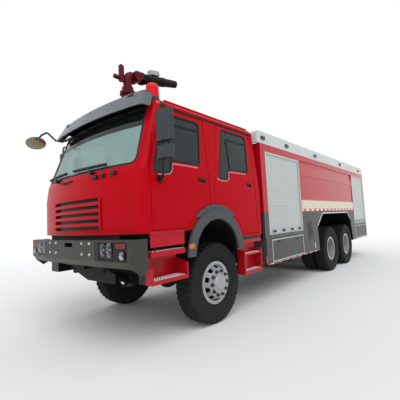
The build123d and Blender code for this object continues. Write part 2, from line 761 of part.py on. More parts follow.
def front_band(ahead, thickness, half_width, low, high, radius=cab_front_radius):
    """A curved upright band that follows the cab's bowed front, put into the part being built."""
    drop = half_width ** 2 / (2 * radius)
    with BuildSketch(Plane.XY.offset(low)) as band:
        with BuildLine():
            ThreePointArc((ahead - drop, -half_width), (ahead, 0), (ahead - drop, half_width))
            Line((ahead - drop, half_width), (ahead - drop - thickness, half_width))
            ThreePointArc((ahead - drop - thickness, half_width), (ahead - thickness, 0),
                          (ahead - drop - thickness, -half_width))
            Line((ahead - drop - thickness, -half_width), (ahead - drop, -half_width))
        make_face()
    extrude(band.sketch, amount=high - low)


grille_edge = grille_half - seat_clearance
with BuildPart() as grille:
    front_band(cab_front_x - slat_depth + grille_proud + 4, 12, grille_edge, grille_low + 1, grille_top - 1)
    slat_height = slot_pitch - slot_height
    for slat in range(slot_count + 1):
        low = max(grille_low + 1, grille_low + 4 + slat * slot_pitch - slat_height)
        high = min(grille_top - 1, grille_low + 4 + slat * slot_pitch)
        if high > low:
            front_band(cab_front_x + grille_proud, slat_depth, grille_edge, low, high)
    for side in (1, -1):
        side_x = cab_front_x + grille_proud - grille_edge ** 2 / (2 * cab_front_radius)
        block((side_x - slat_depth, side_x), (side * (grille_edge - 26), side * grille_edge),
              (grille_low + 1, grille_top - 1))
save(grille.part, "grille")

# Front bumper. A folded steel beam with lamp pockets and returned ends.
bumper_top = 1283
bumper_bottom = 1043
bumper_lip_z = 968
bumper_straight = 700
bumper_end_back = 42
bumper_sheet = 14
bumper_half = side_y - 10
bumper_return = 285
lamp_inner_y = 634
lamp_outer_y = 1204
lamp_low = 1052
lamp_high = 1266
plan_outer = [(bumper_x - bumper_return, bumper_half), (bumper_x - bumper_end_back, bumper_half),
              (bumper_x, bumper_straight), (bumper_x, -bumper_straight),
              (bumper_x - bumper_end_back, -bumper_half), (bumper_x - bumper_return, -bumper_half)]


def bumper_plan(depth):
    """The bumper's outline from above: a band of the given depth along the front and both ends."""
    inner_end = bumper_half - bumper_sheet
    return plan_outer + [(bumper_x - bumper_return, -inner_end), (bumper_x - bumper_end_back - depth, -inner_end),
                         (bumper_x - depth, -bumper_straight), (bumper_x - depth, bumper_straight),
                         (bumper_x - bumper_end_back - depth, inner_end), (bumper_x - bumper_return, inner_end)]


with BuildPart() as bumper:
    for depth, low, high in ((bumper_sheet, bumper_bottom, bumper_top), (120, bumper_top - 10, bumper_top)):
        with BuildSketch(Plane.XY.offset(low)):
            with BuildLine():
                Polyline(*bumper_plan(depth), close=True)
            make_face()
        extrude(amount=high - low)
    lip = [(bumper_x, bumper_bottom), (bumper_x - 62, bumper_lip_z), (bumper_x - 76, bumper_lip_z),
           (bumper_x - bumper_sheet, bumper_bottom + 4)]
    plate_xz(lip, -bumper_straight, bumper_straight)
    for side in (1, -1):
        with BuildSketch(Plane.XZ.offset(-side * bumper_straight)) as lip_face:
            with BuildLine():
                Polyline(*lip, close=True)
            make_face()
        run = Vector(-bumper_end_back, side * (bumper_half - bumper_straight), 0)
        extrude(lip_face.sketch, amount=run.length, dir=run)
        cheek = [(bumper_x - bumper_end_back, bumper_bottom + 6), (bumper_x - 100, 962), (bumper_x - 194, 884),
                 (bumper_x - 254, 916), (bumper_x - bumper_return, 950), (bumper_x - bumper_return, bumper_bottom + 6)]
        low_y, high_y = sorted((side * (bumper_half - bumper_sheet), side * bumper_half))
        plate_xz(cheek, low_y, high_y)
        block((bumper_x - 200, bumper_x + 10), (side * lamp_inner_y, side * lamp_outer_y), (lamp_low, lamp_high),
              mode=Mode.SUBTRACT)
        block((cab_front_x - 160 + seat_clearance, bumper_x - bumper_sheet + 2),
              (side * (rail_y - frame_rail_depth), side * rail_y), (bumper_bottom + 10, frame_top - 10))
    block((bumper_x - 60, bumper_x + 10), (-105, 105), (front_jaw_z - jaw_gap / 2, front_jaw_z + jaw_gap / 2),
          mode=Mode.SUBTRACT)
    rod((front_jaw_x, 0, bumper_top - 30), (front_jaw_x, 0, bumper_top + 10), jaw_radius + 4, mode=Mode.SUBTRACT)
save(bumper.part, "bumper")

# Headlamp units. Each housing fills its pocket in the bumper and has three lamp wells.
with BuildPart() as headlamp_left:
    slope = bumper_end_back / (bumper_half - bumper_straight)
    gap = seat_clearance
    face_in = bumper_x - 3
    face_out = bumper_x - 3 - slope * (lamp_outer_y - bumper_straight)
    with BuildSketch(Plane.XY.offset(lamp_low + gap)):
        with BuildLine():
            Polyline((bumper_x - 110, lamp_inner_y + gap), (face_in, lamp_inner_y + gap),
                     (face_in, bumper_straight), (face_out, lamp_outer_y - gap),
                     (bumper_x - 110, lamp_outer_y - gap), close=True)
        make_face()
    extrude(amount=lamp_high - lamp_low - 2 * gap)
    block((bumper_x - 45, bumper_x + 10), (lamp_inner_y + 70, 968), (lamp_low + 16, lamp_high - 16),
          mode=Mode.SUBTRACT)
    block((bumper_x - 40, bumper_x + 10), (990, lamp_outer_y - 14), (lamp_high - 78, lamp_high - 14),
          mode=Mode.SUBTRACT)
    rod((bumper_x - 60, 1124, 1118), (bumper_x + 10, 1124, 1118), 58, mode=Mode.SUBTRACT)
    rod((bumper_x - 60, 1124, 1118), (bumper_x - 44, 1124, 1118), 50)
    block((bumper_x - 45, bumper_x - 33), (lamp_inner_y + 80, 958), (lamp_low + 26, lamp_high - 26))

# Wheel arch flares on the cab, each with its inner liner over the wheel.
liner_thickness = 10
liner_inner_y = 720
liner_relief_y = 1180
liner_relief_z = 1050
with BuildPart() as flare_left:
    with BuildSketch(Plane.XZ.offset(-(cab_half_width + flare_proud))):
        with Locations((arch_x, arch_centre_z)):
            Circle(flare_radius)
            Circle(arch_radius - liner_thickness, mode=Mode.SUBTRACT)
        with Locations((arch_x, flare_lower_edge - 500)):
            Rectangle(3 * flare_radius, 1000, mode=Mode.SUBTRACT)
    extrude(amount=flare_proud)
    with BuildSketch(Plane.XZ.offset(-(cab_half_width + flare_proud / 2))):
        with Locations((arch_x, arch_centre_z)):
            Circle(flare_band_radius)
            Circle(flare_radius - 20, mode=Mode.SUBTRACT)
        with Locations((arch_x, flare_band_low - 750)):
            Rectangle(3 * flare_radius, 1500, mode=Mode.SUBTRACT)
        with Locations((arch_x, flare_band_top + 200)):
            Rectangle(3 * flare_radius, 400, mode=Mode.SUBTRACT)
    extrude(amount=flare_proud / 2)
    with BuildSketch(Plane.XZ.offset(-cab_half_width - 1)):
        with Locations((arch_x, arch_centre_z)):
            Circle(arch_radius - seat_clearance)
            Circle(arch_radius - liner_thickness, mode=Mode.SUBTRACT)
        with Locations((arch_x, flare_lower_edge - 500)):
            Rectangle(3 * flare_radius, 1000, mode=Mode.SUBTRACT)
    extrude(amount=cab_half_width + 1 - liner_inner_y)
    block((arch_x - arch_radius - 20, arch_x - arch_radius + 60), (liner_inner_y - 1, liner_relief_y),
          (flare_lower_edge - 1, liner_relief_z), mode=Mode.SUBTRACT)
with BuildPart() as flares:
    add(flare_left.part)
    add(mirrored(flare_left.part))
save(flares.part, "fender_flares")

# Entry steps. A red apron and tread under each door, and an open box step hung below it.
step_out = side_y - 5
step_sheet = 24
step_wall_top = 1067
front_step = (front_axle_x + 672, front_axle_x + 1258)
crew_step = (front_axle_x - 1150, front_axle_x - 615)


def box_step(xs, inner_y, low, treads, outer_top, inner_top):
    """A box step open to the outside and above, with a back wall and treads, put into the part being built."""
    block(xs, (inner_y, inner_y + step_sheet), (low, step_wall_top))
    block(xs, (inner_y, step_out), (low, treads[0]))
    for tread in treads[1:]:
        block(xs, (inner_y, step_out), (tread - step_sheet, tread))
    for x in (xs[0], xs[1] - step_sheet):
        with BuildSketch(Plane.YZ.offset(x)) as cheek:
            with BuildLine():
                Polyline((inner_y, low), (step_out, low), (step_out, outer_top), (inner_y, inner_top), close=True)
            make_face()
        extrude(cheek.sketch, amount=step_sheet)


with BuildPart() as steps_left:
    box_step(front_step, 1010, 757, (801,), 947, 1013)
    block((front_step[0] + 40, front_step[1]), (1010, step_out), (1066, 1128))
    block((front_step[0] + 40, front_step[1]), (cab_half_width - 24, cab_half_width), (1176, cab_lower_edge))
    block((front_step[0] + 40, front_step[1]), (cab_half_width - 24, side_y - 2), (1318, cab_lower_edge))
    block((front_step[0] + 40, front_step[1]), (cab_half_width + seat_clearance, side_y - 2), (1318, 1355))
    for x in (front_step[0] + 60, front_step[1] - 60):
        block((x - 12, x + 12), (1120, cab_half_width - 4), (1120, 1190))
    box_step(crew_step, 1085, 568, (621, 888), 945, 960)
    block((crew_step[0], crew_step[1] + 40), (1085, step_out), (1062, crew_lower_edge - seat_clearance))
    for x, z, wall_y in ((front_step[0] + 90, 900, 1012), (front_step[1] - 90, 900, 1012),
                         (crew_step[0] + 60, 900, 1087)):
        block((x - 30, x + 30), (rail_y, wall_y), (z - 25, z + 25))
with BuildPart() as steps:
    add(steps_left.part)
    add(mirrored(steps_left.part))
save(steps.part, "cab_steps")

# Sun visor over the windscreen, cut out round the beacon. A bowed shell with closed ends, carried by the roof's front.
beacon_place = (front_axle_x + 925, 985)
beacon_radius = 92
visor_low_z = 2872
visor_top_z = 3105
visor_low_ahead = -170
visor_top_ahead = -305
visor_radius = 6300
visor_half_low = 1135
visor_half_top = 1045
visor_sheet = 16
visor_back = 230


def visor_form(inset):
    """The visor's whole outer form as a closed wedge, drawn in by inset."""
    with BuildPart() as form:
        for z, ahead, half in ((visor_low_z - inset, visor_low_ahead, visor_half_low),
                               (visor_top_z - inset, visor_top_ahead, visor_half_top)):
            front = cab_front_x + ahead - inset
            half_in = half - inset
            side_front = front - half_in ** 2 / (2 * visor_radius)
            with BuildSketch(Plane.XY.offset(z)) as outline:
                with BuildLine():
                    ThreePointArc((side_front, -half_in), (front, 0), (side_front, half_in))
                    Polyline((side_front, half_in), (front - visor_back, half_in),
                             (front - visor_back, -half_in), (side_front, -half_in))
                make_face()
                fillet(outline.vertices().group_by(Axis.X)[-1], 60)
        loft(ruled=True)
    return form.part


cab_clear = cab_body(-1, crew_lower_edge, cab_roof_top)
visor_outer = visor_form(0)
visor_inner = visor_form(visor_sheet)
with BuildPart() as visor_ribs:
    for y in (-680, -230, 230, 680):
        block((cab_front_x - 800, cab_front_x), (y - 8, y + 8), (visor_low_z, visor_top_z))
    add(visor_outer, mode=Mode.INTERSECT)
with BuildPart() as visor:
    add(visor_outer)
    add(visor_inner, mode=Mode.SUBTRACT)
    add(visor_ribs.part)
    add(cab_outer, mode=Mode.SUBTRACT)
    rod((beacon_place[0], beacon_place[1], visor_low_z), (beacon_place[0], beacon_place[1], visor_top_z + 10),
        beacon_radius + 6, mode=Mode.SUBTRACT)
save(visor.part, "sun_visor")

# Seats. Two in front and a bench behind, each a pedestal, a cushion and a raked back.
seat_width = 520
front_seat_y = 720
seat_x = front_axle_x + 330
bench_x = front_axle_x - 1080
seat_top = 1800


def seat(x, middle_y, width, depth, headrest):
    low_y, high_y = middle_y - width / 2, middle_y + width / 2
    block((x, x + depth), (low_y, high_y), (seat_top - 150, seat_top))
    back = [(x - 20, seat_top - 120), (x + 100, seat_top - 120), (x + 20, seat_top + 660), (x - 70, seat_top + 660)]
    plate_xz(back, low_y, high_y)
    if headrest:
        plate_xz([(x - 60, seat_top + 650), (x + 20, seat_top + 650), (x + 5, seat_top + 850), (x - 75, seat_top + 850)],
                 middle_y - 140, middle_y + 140)


with BuildPart() as seats:
    for side in (1, -1):
        seat(seat_x, side * front_seat_y, seat_width, 480, True)
        block((seat_x + 40, seat_x + 420), (side * (front_seat_y - 230), side * (arch_house_y - 10)),
              (floor_z, seat_top - 148))
    seat(bench_x, 0, 2 * 950, 460, False)
    block((bench_x, bench_x + 400), (-940, 940), (floor_z, seat_top - 148))
save(seats.part, "seats")

# Dashboard, cut to the inside of the cab's bowed front, with the steering wheel on its column.
dash_back_x = front_axle_x + 1085
wheel_centre = (front_axle_x + 960, front_seat_y, 2010)
column_foot = (front_axle_x + 1190, front_seat_y, 1830)
steering_wheel_radius = 215
dash_half = 1140
with BuildPart() as dashboard:
    add(cab_body(cab_wall + seat_clearance, cover_top + seat_clearance, 2125))
    block((cab_back_x, dash_back_x), (-side_y, side_y), (1600, 2200), mode=Mode.SUBTRACT)
    for side in (1, -1):
        block((cab_back_x, front_axle_x + 1300), (side * dash_half, side * side_y), (1600, 2200),
              mode=Mode.SUBTRACT)
    knee = [(dash_back_x - 10, 1680), (dash_back_x + 150, 1680), (dash_back_x + 60, 1850), (dash_back_x - 10, 1850)]
    plate_xz(knee, -side_y, side_y, mode=Mode.SUBTRACT)
    block((dash_back_x, dash_back_x + 130), (front_seat_y - 240, front_seat_y + 240), (2085, 2150))
    rod(column_foot, wheel_centre, 30)
    tilt = Vector(*wheel_centre) - Vector(*column_foot)
    wheel_plane = Plane(origin=wheel_centre, z_dir=tilt)
    with Locations(wheel_plane.location):
        Torus(steering_wheel_radius, 15)
        Cylinder(55, 30)
        for angle in (90, 210, 330):
            with Locations(Location((0, 0, 0), (0, 0, angle))):
                with Locations((steering_wheel_radius / 2, 0, 0)):
                    Box(steering_wheel_radius, 30, 12)
save(dashboard.part, "dashboard")

# Door mirrors. A bent tube on two brackets, with a long mirror head and a short wide-angle one below.
mirror_arm_radius = 13
mirror_inner_y = 1300
mirror_outer_y = 1548
mirror_tube_y = 1390
mirror_pane_back = -46


def mirror_heads():
    """Both heads of a door mirror on a tube through the origin, their panes facing back."""
    inner, outer = mirror_inner_y - mirror_tube_y, mirror_outer_y - mirror_tube_y
    with BuildPart() as heads:
        for low, high in ((2366, 2726), (2165, 2310)):
            with BuildSketch(Plane.XY.offset(low)):
                with BuildLine():
                    FilletPolyline((mirror_pane_back, inner), (10, inner), (48, inner + 60), (48, outer - 60),
                                   (10, outer), (mirror_pane_back, outer), radius=18, close=True)
                make_face()
            extrude(amount=high - low)
            block((mirror_pane_back - 10, mirror_pane_back + 6), (inner + 14, outer - 14), (low + 14, high - 14),
                  mode=Mode.SUBTRACT)
    return heads.part


both_heads = mirror_heads()


def door_mirror(tube_x, tube_y, turn, bend):
    """A mirror on the left-hand door. Its tube stands at the given place with the heads turned about it."""
    with BuildPart() as mirror_made:
        with BuildLine():
            route = FilletPolyline((front_axle_x + 1075, cab_half_width - 2, 1965), (tube_x, tube_y, 1965),
                                   (tube_x, tube_y, 2848), (front_axle_x + 880, 1150, 2862), radius=bend)
        with BuildSketch(Plane(origin=route @ 0, z_dir=route % 0)):
            Circle(mirror_arm_radius)
        sweep()
        block((front_axle_x + 1040, front_axle_x + 1110), (cab_half_width, cab_half_width + 14), (1925, 2005))
        add(both_heads.moved(Location((tube_x, tube_y, 0), (0, 0, turn))))
        add(cab_clear, mode=Mode.SUBTRACT)
    return Part(mirror_made.part.solids().sort_by(SortBy.VOLUME)[-1].wrapped)


save(door_mirror(front_axle_x + 1160, mirror_tube_y, 0, 70), "mirror_left")
save(mirrored(door_mirror(front_axle_x + 1000, 1345, 20, 38)), "mirror_right")

# Round front mirror at the right-hand corner, looking down at the ground ahead.
dish_centre = Vector(front_axle_x + 1540, -1106, 2790)
dish_normal = Vector(0.175, 0.452, -0.875)
dish_radius = 142
with BuildPart() as front_mirror:
    back_point = dish_centre - dish_normal * 40
    with BuildLine():
        stay = FilletPolyline((front_axle_x + 985, -1110, 2975), (front_axle_x + 1055, -1120, 2907),
                              (front_axle_x + 1223, -1120, 2887), (front_axle_x + 1365, -1120, 3000),
                              (front_axle_x + 1450, -1120, 2940),
                              (back_point.X, back_point.Y, back_point.Z), radius=28)
    with BuildSketch(Plane(origin=stay @ 0, z_dir=stay % 0)):
        Circle(15)
    sweep()
    with BuildSketch(Plane(origin=dish_centre - dish_normal * 42, z_dir=dish_normal)):
        Circle(dish_radius * 0.55)
    with BuildSketch(Plane(origin=dish_centre, z_dir=dish_normal)):
        Circle(dish_radius)
    loft()
with BuildPart() as front_mirror_clear:
    add(front_mirror.part)
    add(cab_clear, mode=Mode.SUBTRACT)
    add(visor_outer, mode=Mode.SUBTRACT)
save(Part(front_mirror_clear.part.solids().sort_by(SortBy.VOLUME)[-1].wrapped), "front_mirror")

# Windscreen wipers. Pivot, arm and blade lie just off the glass: pivot place, blade ends, in Y and Z.
wiper_table = [(400, 2118, -60, 2200, 640, 2190), (-560, 2118, -1010, 2196, -300, 2200)]


def on_screen(y, z, off):
    """The point off the cab's front surface at a place seen from ahead."""
    slope = 322 / (cab_gutter - cab_belt)
    ahead = cab_front_x - 28 - max(0, z - cab_belt) * slope
    return (ahead - y ** 2 / (2 * cab_front_radius) + off, y, z)


with BuildPart() as wipers:
    for pivot_y, pivot_z, y0, z0, y1, z1 in wiper_table:
        rod(on_screen(pivot_y, pivot_z, 1), on_screen(pivot_y, pivot_z, 62), 26)
        rod(on_screen(pivot_y, pivot_z, 50), on_screen((y0 + y1) / 2, (z0 + z1) / 2, 40), 11)
        rod(on_screen(y0, z0, 36), on_screen(y1, z1, 36), 11)
    add(cab_clear, mode=Mode.SUBTRACT)
save(wipers.part, "wipers")

# Beacon on the roof's left front.
with BuildPart() as beacon:
    with Locations((beacon_place[0], beacon_place[1], cab_roof_top + 22)):
        Cylinder(beacon_radius, 44)
    with BuildSketch(Plane(origin=(beacon_place[0], beacon_place[1], cab_roof_top + 44), x_dir=(1, 0, 0),
                           z_dir=(0, -1, 0))):
        with BuildLine():
            Polyline((20, 200), (0, 200), (0, 0), (89, 0), (85, 140))
            ThreePointArc((85, 140), (64, 182), (20, 200))
        make_face()
    revolve(axis=Axis((beacon_place[0], beacon_place[1], 0), (0, 0, 1)))

# Roof monitor. A riser with a flange, a swivel column with its gearbox, and the barrel on its cross pivot.
monitor_at = front_axle_x + monitor_ahead
pivot_x = monitor_at - 150
with BuildPart() as monitor_base:
    rod((monitor_at, 0, cab_roof_top), (monitor_at, 0, cab_roof_top + 20), 190)
    rod((monitor_at, 0, cab_roof_top), (monitor_at, 0, monitor_swivel_z), monitor_pipe_radius + 24)
    for z in (monitor_flange_z, monitor_flange_z + 26):
        rod((monitor_at, 0, z), (monitor_at, 0, z + 22), monitor_flange_radius)
    for angle in range(0, 360, 90):
        with Locations(Location((monitor_at, 0, cab_roof_top + 90), (0, 0, angle))):
            with Locations((115, 0, 0)):
                Box(110, 14, 150)
save(monitor_base.part, "monitor_base")

swivel_gap = 0.5
with BuildPart() as monitor_swivel:
    rod((monitor_at, 0, monitor_swivel_z + swivel_gap), (monitor_at, 0, monitor_swivel_z + 60), 92)
    with BuildLine():
        bend = FilletPolyline((monitor_at, 0, monitor_swivel_z + 40), (monitor_at, 0, monitor_pivot_z + 40),
                              (pivot_x, 0, monitor_pivot_z + 40), radius=90)
    with BuildSketch(Plane(origin=bend @ 0, z_dir=bend % 0)):
        Circle(monitor_pipe_radius)
    sweep()
    rod((pivot_x, -78, monitor_pivot_z + 40), (pivot_x, 78, monitor_pivot_z + 40), 88)
    rod((monitor_at + 40, 0, 3745), (monitor_at + 245, 0, 3745), 35)
    rod((monitor_at + 112, 0, 3700), (monitor_at + 112, 0, 3945), 44)
    rod((monitor_at + 112, 0, 3945), (monitor_at + 112, 0, 3968), 24)
    block((monitor_at, monitor_at + 112), (-28, 28), (3705, 3760))
save(monitor_swivel.part, "monitor_swivel")

barrel_turn = Location((pivot_x, 0, monitor_pivot_z + 40), (0, monitor_rise, 0))
with BuildPart() as barrel_straight:
    for side in (1, -1):
        rod((0, side * 78.5, 0), (0, side * 104, 0), 76)
        block((-150, 0), (side * 80, side * 104), (-46, 46))
    rod((-116, 0, 0), (-150, 0, 0), 104)
    with BuildSketch(Plane.XZ):
        with BuildLine():
            Polyline((-140, 0), (-140, 66), (-300, 80), (-620, 82), (-700, 72), (-940, 66), (-940, 0), close=True)
        make_face()
    revolve(axis=Axis.X)
    rod((-941, 0, 0), (-740, 0, 0), 44, mode=Mode.SUBTRACT)
    for x in (-190, -260):
        rod((x - 11, 0, 0), (x + 11, 0, 0), 88)
    block((-470, -410), (-18, 18), (70, 92))
    block((-540, -340), (-45, 45), (90, 168))
save(barrel_straight.part.moved(barrel_turn), "monitor_barrel")

# Body shell. Closed over its tanks and pump, with pockets for the shutters and moulded middle panels.
panel_ridge_z = 2350
panel_recess_low = 2586
panel_recess_top = 2667
with BuildPart() as body:
    profile = [(body_front_x, bay_sill), (body_front_x, body_top), (body_back_x, body_top), (body_back_x, bay_sill),
               (mid_body[0], bay_sill), (mid_body[0], mid_sill), (mid_body[1], mid_sill), (mid_body[1], bay_sill)]
    plate_xz(profile, -side_y, side_y)
    block(mid_body, (skirt_depth - side_y, side_y - skirt_depth), (deck_z, mid_sill + 10))
    block((body_back_x - 10, body_front_x + 10), (-rail_y - 40, rail_y + 40), (bay_sill - 10, deck_z),
          mode=Mode.SUBTRACT)
    for side in (1, -1):
        for bay in (front_bay, rear_bay):
            block(bay, (side * (side_y - shutter_depth), side * (side_y + 10)), (shutter_low, shutter_top),
                  mode=Mode.SUBTRACT)
        face_y = side_y + 1
        trough = [(face_y, panel_recess_top), (side_y - panel_depth, panel_recess_top),
                  (side_y - panel_depth, panel_recess_low), (side_y, panel_ridge_z),
                  (side_y - 14, panel_ridge_z - 26), (side_y - 14, 1810), (side_y, 1790), (face_y, 1790)]
        with BuildSketch(Plane.YZ.offset(mid_body[0])) as trough_face:
            with BuildLine():
                Polyline(*[(side * y, z) for y, z in trough], close=True)
            make_face()
        extrude(trough_face.sketch, amount=mid_body[1] - mid_body[0], dir=(1, 0, 0), mode=Mode.SUBTRACT)
    block((body_back_x - 10, body_back_x + shutter_depth), (-620, 620), (1180, 2500), mode=Mode.SUBTRACT)
save(body.part, "body_shell")

# Silver rail around the body's roof, rounded at its ends, and the roof deck's hatches and walkway.
rail_thickness = 62
rail_nose = 92
with BuildPart() as rail:
    with BuildSketch(Plane.XZ.offset(-side_y)) as rail_side:
        with BuildLine():
            FilletPolyline((body_front_x + rail_nose, body_top), (body_front_x + rail_nose, rail_top),
                           (body_back_x, rail_top), (body_back_x, body_top), radius=[60, 150], close=False)
            Line((body_back_x, body_top), (body_front_x + rail_nose, body_top))
        make_face()
    extrude(rail_side.sketch, amount=2 * side_y, dir=(0, -1, 0))
    block((body_back_x + rail_thickness, body_front_x + rail_nose - rail_thickness),
          (-side_y + rail_thickness, side_y - rail_thickness), (body_top - 10, rail_top + 10), mode=Mode.SUBTRACT)
    block((body_back_x - 10, body_back_x + rail_thickness + 10), (-420, 420), (body_top + 60, rail_top + 10),
          mode=Mode.SUBTRACT)
save(rail.part, "body_rail")

with BuildPart() as roof_load:
    walkway = (body_back_x + 500, body_front_x - 300)
    for step in range(5):
        x = walkway[0] + 300 + step * 1380
        block((x - 330, x + 330), (-330, 330), (body_top, body_top + 50))
        rod((x + 200, 0, body_top + 50), (x + 200, 0, body_top + 72), 60)
    for side in (1, -1):
        block(walkway, (side * 560, side * 900), (body_top, body_top + 12))
        rod((walkway[0] + 200, side * 1060, body_top + 68), (walkway[1] - 600, side * 1060, body_top + 68), 66)
        for x in (walkway[0] + 600, walkway[1] - 1100):
            block((x - 30, x + 30), (side * 985, side * 1135), (body_top, body_top + 70))

# Lower body. Grey locker boxes under both sides, cut for the rear wheels and for the lockers' flaps.
arch_front = rear_axle_x + side_arch_front
arch_top_front = rear_axle_x + 561
arch_top_rear = back_axle_x - 208
arch_points = [(arch_front - 30, skirt_bottom - 10), (arch_front, side_arch_low), (arch_top_front, side_arch_top),
               (arch_top_rear, side_arch_top), (back_axle_x - 514, 1235), (back_axle_x - 650, skirt_bottom - 10)]
flap_spans = {"front": (front_bay[0] + 20, front_bay[1] - 70), "rear": (rear_bay[0] + 20, rear_bay[1] - 5)}
with BuildPart() as skirt_left:
    profile = [(body_front_x - 20, skirt_bottom), (body_front_x - 20, bay_sill), (mid_body[1], bay_sill),
               (mid_body[1], mid_sill), (mid_body[0], mid_sill), (mid_body[0], bay_sill), (body_back_x, bay_sill),
               (body_back_x, skirt_bottom)]
    plate_xz(profile, side_y - skirt_depth, side_y)
    plate_xz(arch_points, side_y - skirt_depth - 10, side_y + 10, mode=Mode.SUBTRACT)
    for span in flap_spans.values():
        block((span[0] - flap_gap, span[1] + flap_gap), (side_y - locker_depth, side_y + 10),
              (flap_low - flap_gap, flap_high + flap_gap), mode=Mode.SUBTRACT)
        rod((span[0], side_y, flap_hinge_z), (span[1], side_y, flap_hinge_z), flap_bead)
with BuildPart() as skirts:
    add(skirt_left.part)
    add(mirrored(skirt_left.part))
    block((body_back_x, body_back_x + 20), (skirt_depth - side_y, side_y - skirt_depth), (skirt_bottom, bay_sill))
    block((body_back_x - 10, body_back_x + 30), (-90, 90), (rear_jaw_z - 110, bay_sill + 10), mode=Mode.SUBTRACT)
save(skirts.part, "body_skirts")

flap_border = 34
for span_name, span in flap_spans.items():
    with BuildPart() as flap:
        block(span, (side_y - flap_thickness, side_y), (flap_low, flap_high))
        block((span[0] + flap_border, span[1] - flap_border), (side_y - 5, side_y + 5),
              (flap_low + flap_border, flap_high - flap_border), mode=Mode.SUBTRACT)
        rod((span[0] - 1, side_y, flap_hinge_z), (span[1] + 1, side_y, flap_hinge_z), flap_bead + seat_clearance,
            mode=Mode.SUBTRACT)
    save(flap.part, f"{span_name}_flap_left")
    save(mirrored(flap.part), f"{span_name}_flap_right")

# Roller shutters. Each curtain of slats sits in its frame, with a lift bar along the bottom.
slat_pitch = 46
slat_groove = 4
shutter_frame = 36
curtain_front = 12


def curtain(length, low, high):
    """A grooved curtain along X, standing at Y 0 and going back from it."""
    count = round((high - low) / slat_pitch)
    pitch = (high - low) / count
    points = []
    for slat in range(count):
        base = low + slat * pitch
        points += [(-slat_groove, base), (0, base + 7), (0, base + pitch - 7)]
    points += [(-slat_groove, high), (-22, high), (-22, low)]
    with BuildPart() as sheet:
        with BuildSketch(Plane.YZ) as edge:
            with BuildLine():
                Polyline(*points, close=True)
            make_face()
        extrude(edge.sketch, amount=length, dir=(1, 0, 0))
    return sheet.part


with BuildPart() as shutter_left:
    for bay in (front_bay, rear_bay):
        length = bay[1] - bay[0]
        add(curtain(length - 2 * shutter_frame + 4, shutter_low + 90, shutter_top - shutter_frame + 2).moved(
            Location((bay[0] + shutter_frame - 2, side_y - curtain_front, 0))))
        block(bay, (side_y - shutter_depth, side_y - curtain_front - 6), (shutter_low, shutter_top))
        for x in (bay[0] + shutter_frame / 2, bay[1] - shutter_frame / 2):
            block((x - shutter_frame / 2, x + shutter_frame / 2), (side_y - 30, side_y + 4), (shutter_low, shutter_top))
        block(bay, (side_y - 30, side_y + 4), (shutter_top - shutter_frame, shutter_top))
        block(bay, (side_y - 30, side_y + 2), (shutter_low, shutter_low + 14))
        block((bay[0] + shutter_frame, bay[1] - shutter_frame), (side_y - 30, side_y - 4),
              (shutter_low + 20, shutter_low + 92))
        for place in range(4):
            x = bay[0] + length * (place + 0.5) / 4
            block((x - 55, x + 55), (side_y - 20, side_y + 8), (shutter_low + 44, shutter_low + 76))
rear_curtain_width = 1240
with BuildPart() as shutter_rear:
    add(curtain(rear_curtain_width - 2 * shutter_frame + 4, 1180 + 90, 2500 - shutter_frame + 2).moved(
        Location((-rear_curtain_width / 2 + shutter_frame - 2, -curtain_front, 0))))
    block((-620, 620), (-shutter_depth, -curtain_front - 6), (1180, 2500))
    for x in (-620 + shutter_frame / 2, 620 - shutter_frame / 2):
        block((x - shutter_frame / 2, x + shutter_frame / 2), (-30, 4), (1180, 2500))
    block((-620, 620), (-30, 4), (2500 - shutter_frame, 2500))
    block((-620, 620), (-30, 2), (1180, 1194))
    block((-584, 584), (-30, -4), (1200, 1272))
with BuildPart() as shutters:
    add(shutter_left.part)
    add(mirrored(shutter_left.part))
    add(shutter_rear.part.rotate(Axis.Z, 90).moved(Location((body_back_x, 0, 0))))
save(shutters.part, "shutters")

# Lamps. Front units, roof beacon, five on each body rail, and a cluster at each rear corner.
rail_lamps = [body_front_x - 110, body_front_x - 1100, body_front_x - 2700, body_front_x - 4700, body_back_x + 500]
with BuildPart() as lamps:
    add(headlamp_left.part)
    add(mirrored(headlamp_left.part))
    add(beacon.part)
    for side in (1, -1):
        for x in rail_lamps:
            block((x - 60, x + 60), (side * side_y, side * (side_y + 26)), (body_top + 70, body_top + 130))
        block((body_back_x - 30, body_back_x), (side * 1010, side * 1210), (940, 1060))
        block((body_back_x - 30, body_back_x), (side * 1130, side * 1210), (1500, 2300))
save(lamps.part, "lamps")

# Rear step and ladder, standing off the body's back.
ladder_y = -840
ladder_half = 140
with BuildPart() as body_fittings:
    add(roof_load.part)
    block((rear_end_x, body_back_x), (-side_y + 20, side_y - 20), (skirt_bottom, skirt_bottom + 96))
    for side in (1, -1):
        rod((rear_end_x + 20, ladder_y + side * ladder_half, skirt_bottom + 96 + seat_clearance),
            (rear_end_x + 20, ladder_y + side * ladder_half, rail_top + 60), 17)
        for z in (1130, 2600):
            rod((rear_end_x + 20, ladder_y + side * ladder_half, z), (body_back_x, ladder_y + side * ladder_half, z), 11)
    for rung in range(7):
        z = 1000 + rung * 300
        rod((rear_end_x + 20, ladder_y - ladder_half, z), (rear_end_x + 20, ladder_y + ladder_half, z), 13)
    rod((rear_end_x + 20, ladder_y - ladder_half, rail_top + 40), (rear_end_x + 20, ladder_y + ladder_half,
        rail_top + 40), 14)
save(body_fittings.part, "body_fittings")
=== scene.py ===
import math
import bpy
import numpy as np
from mathutils import Matrix


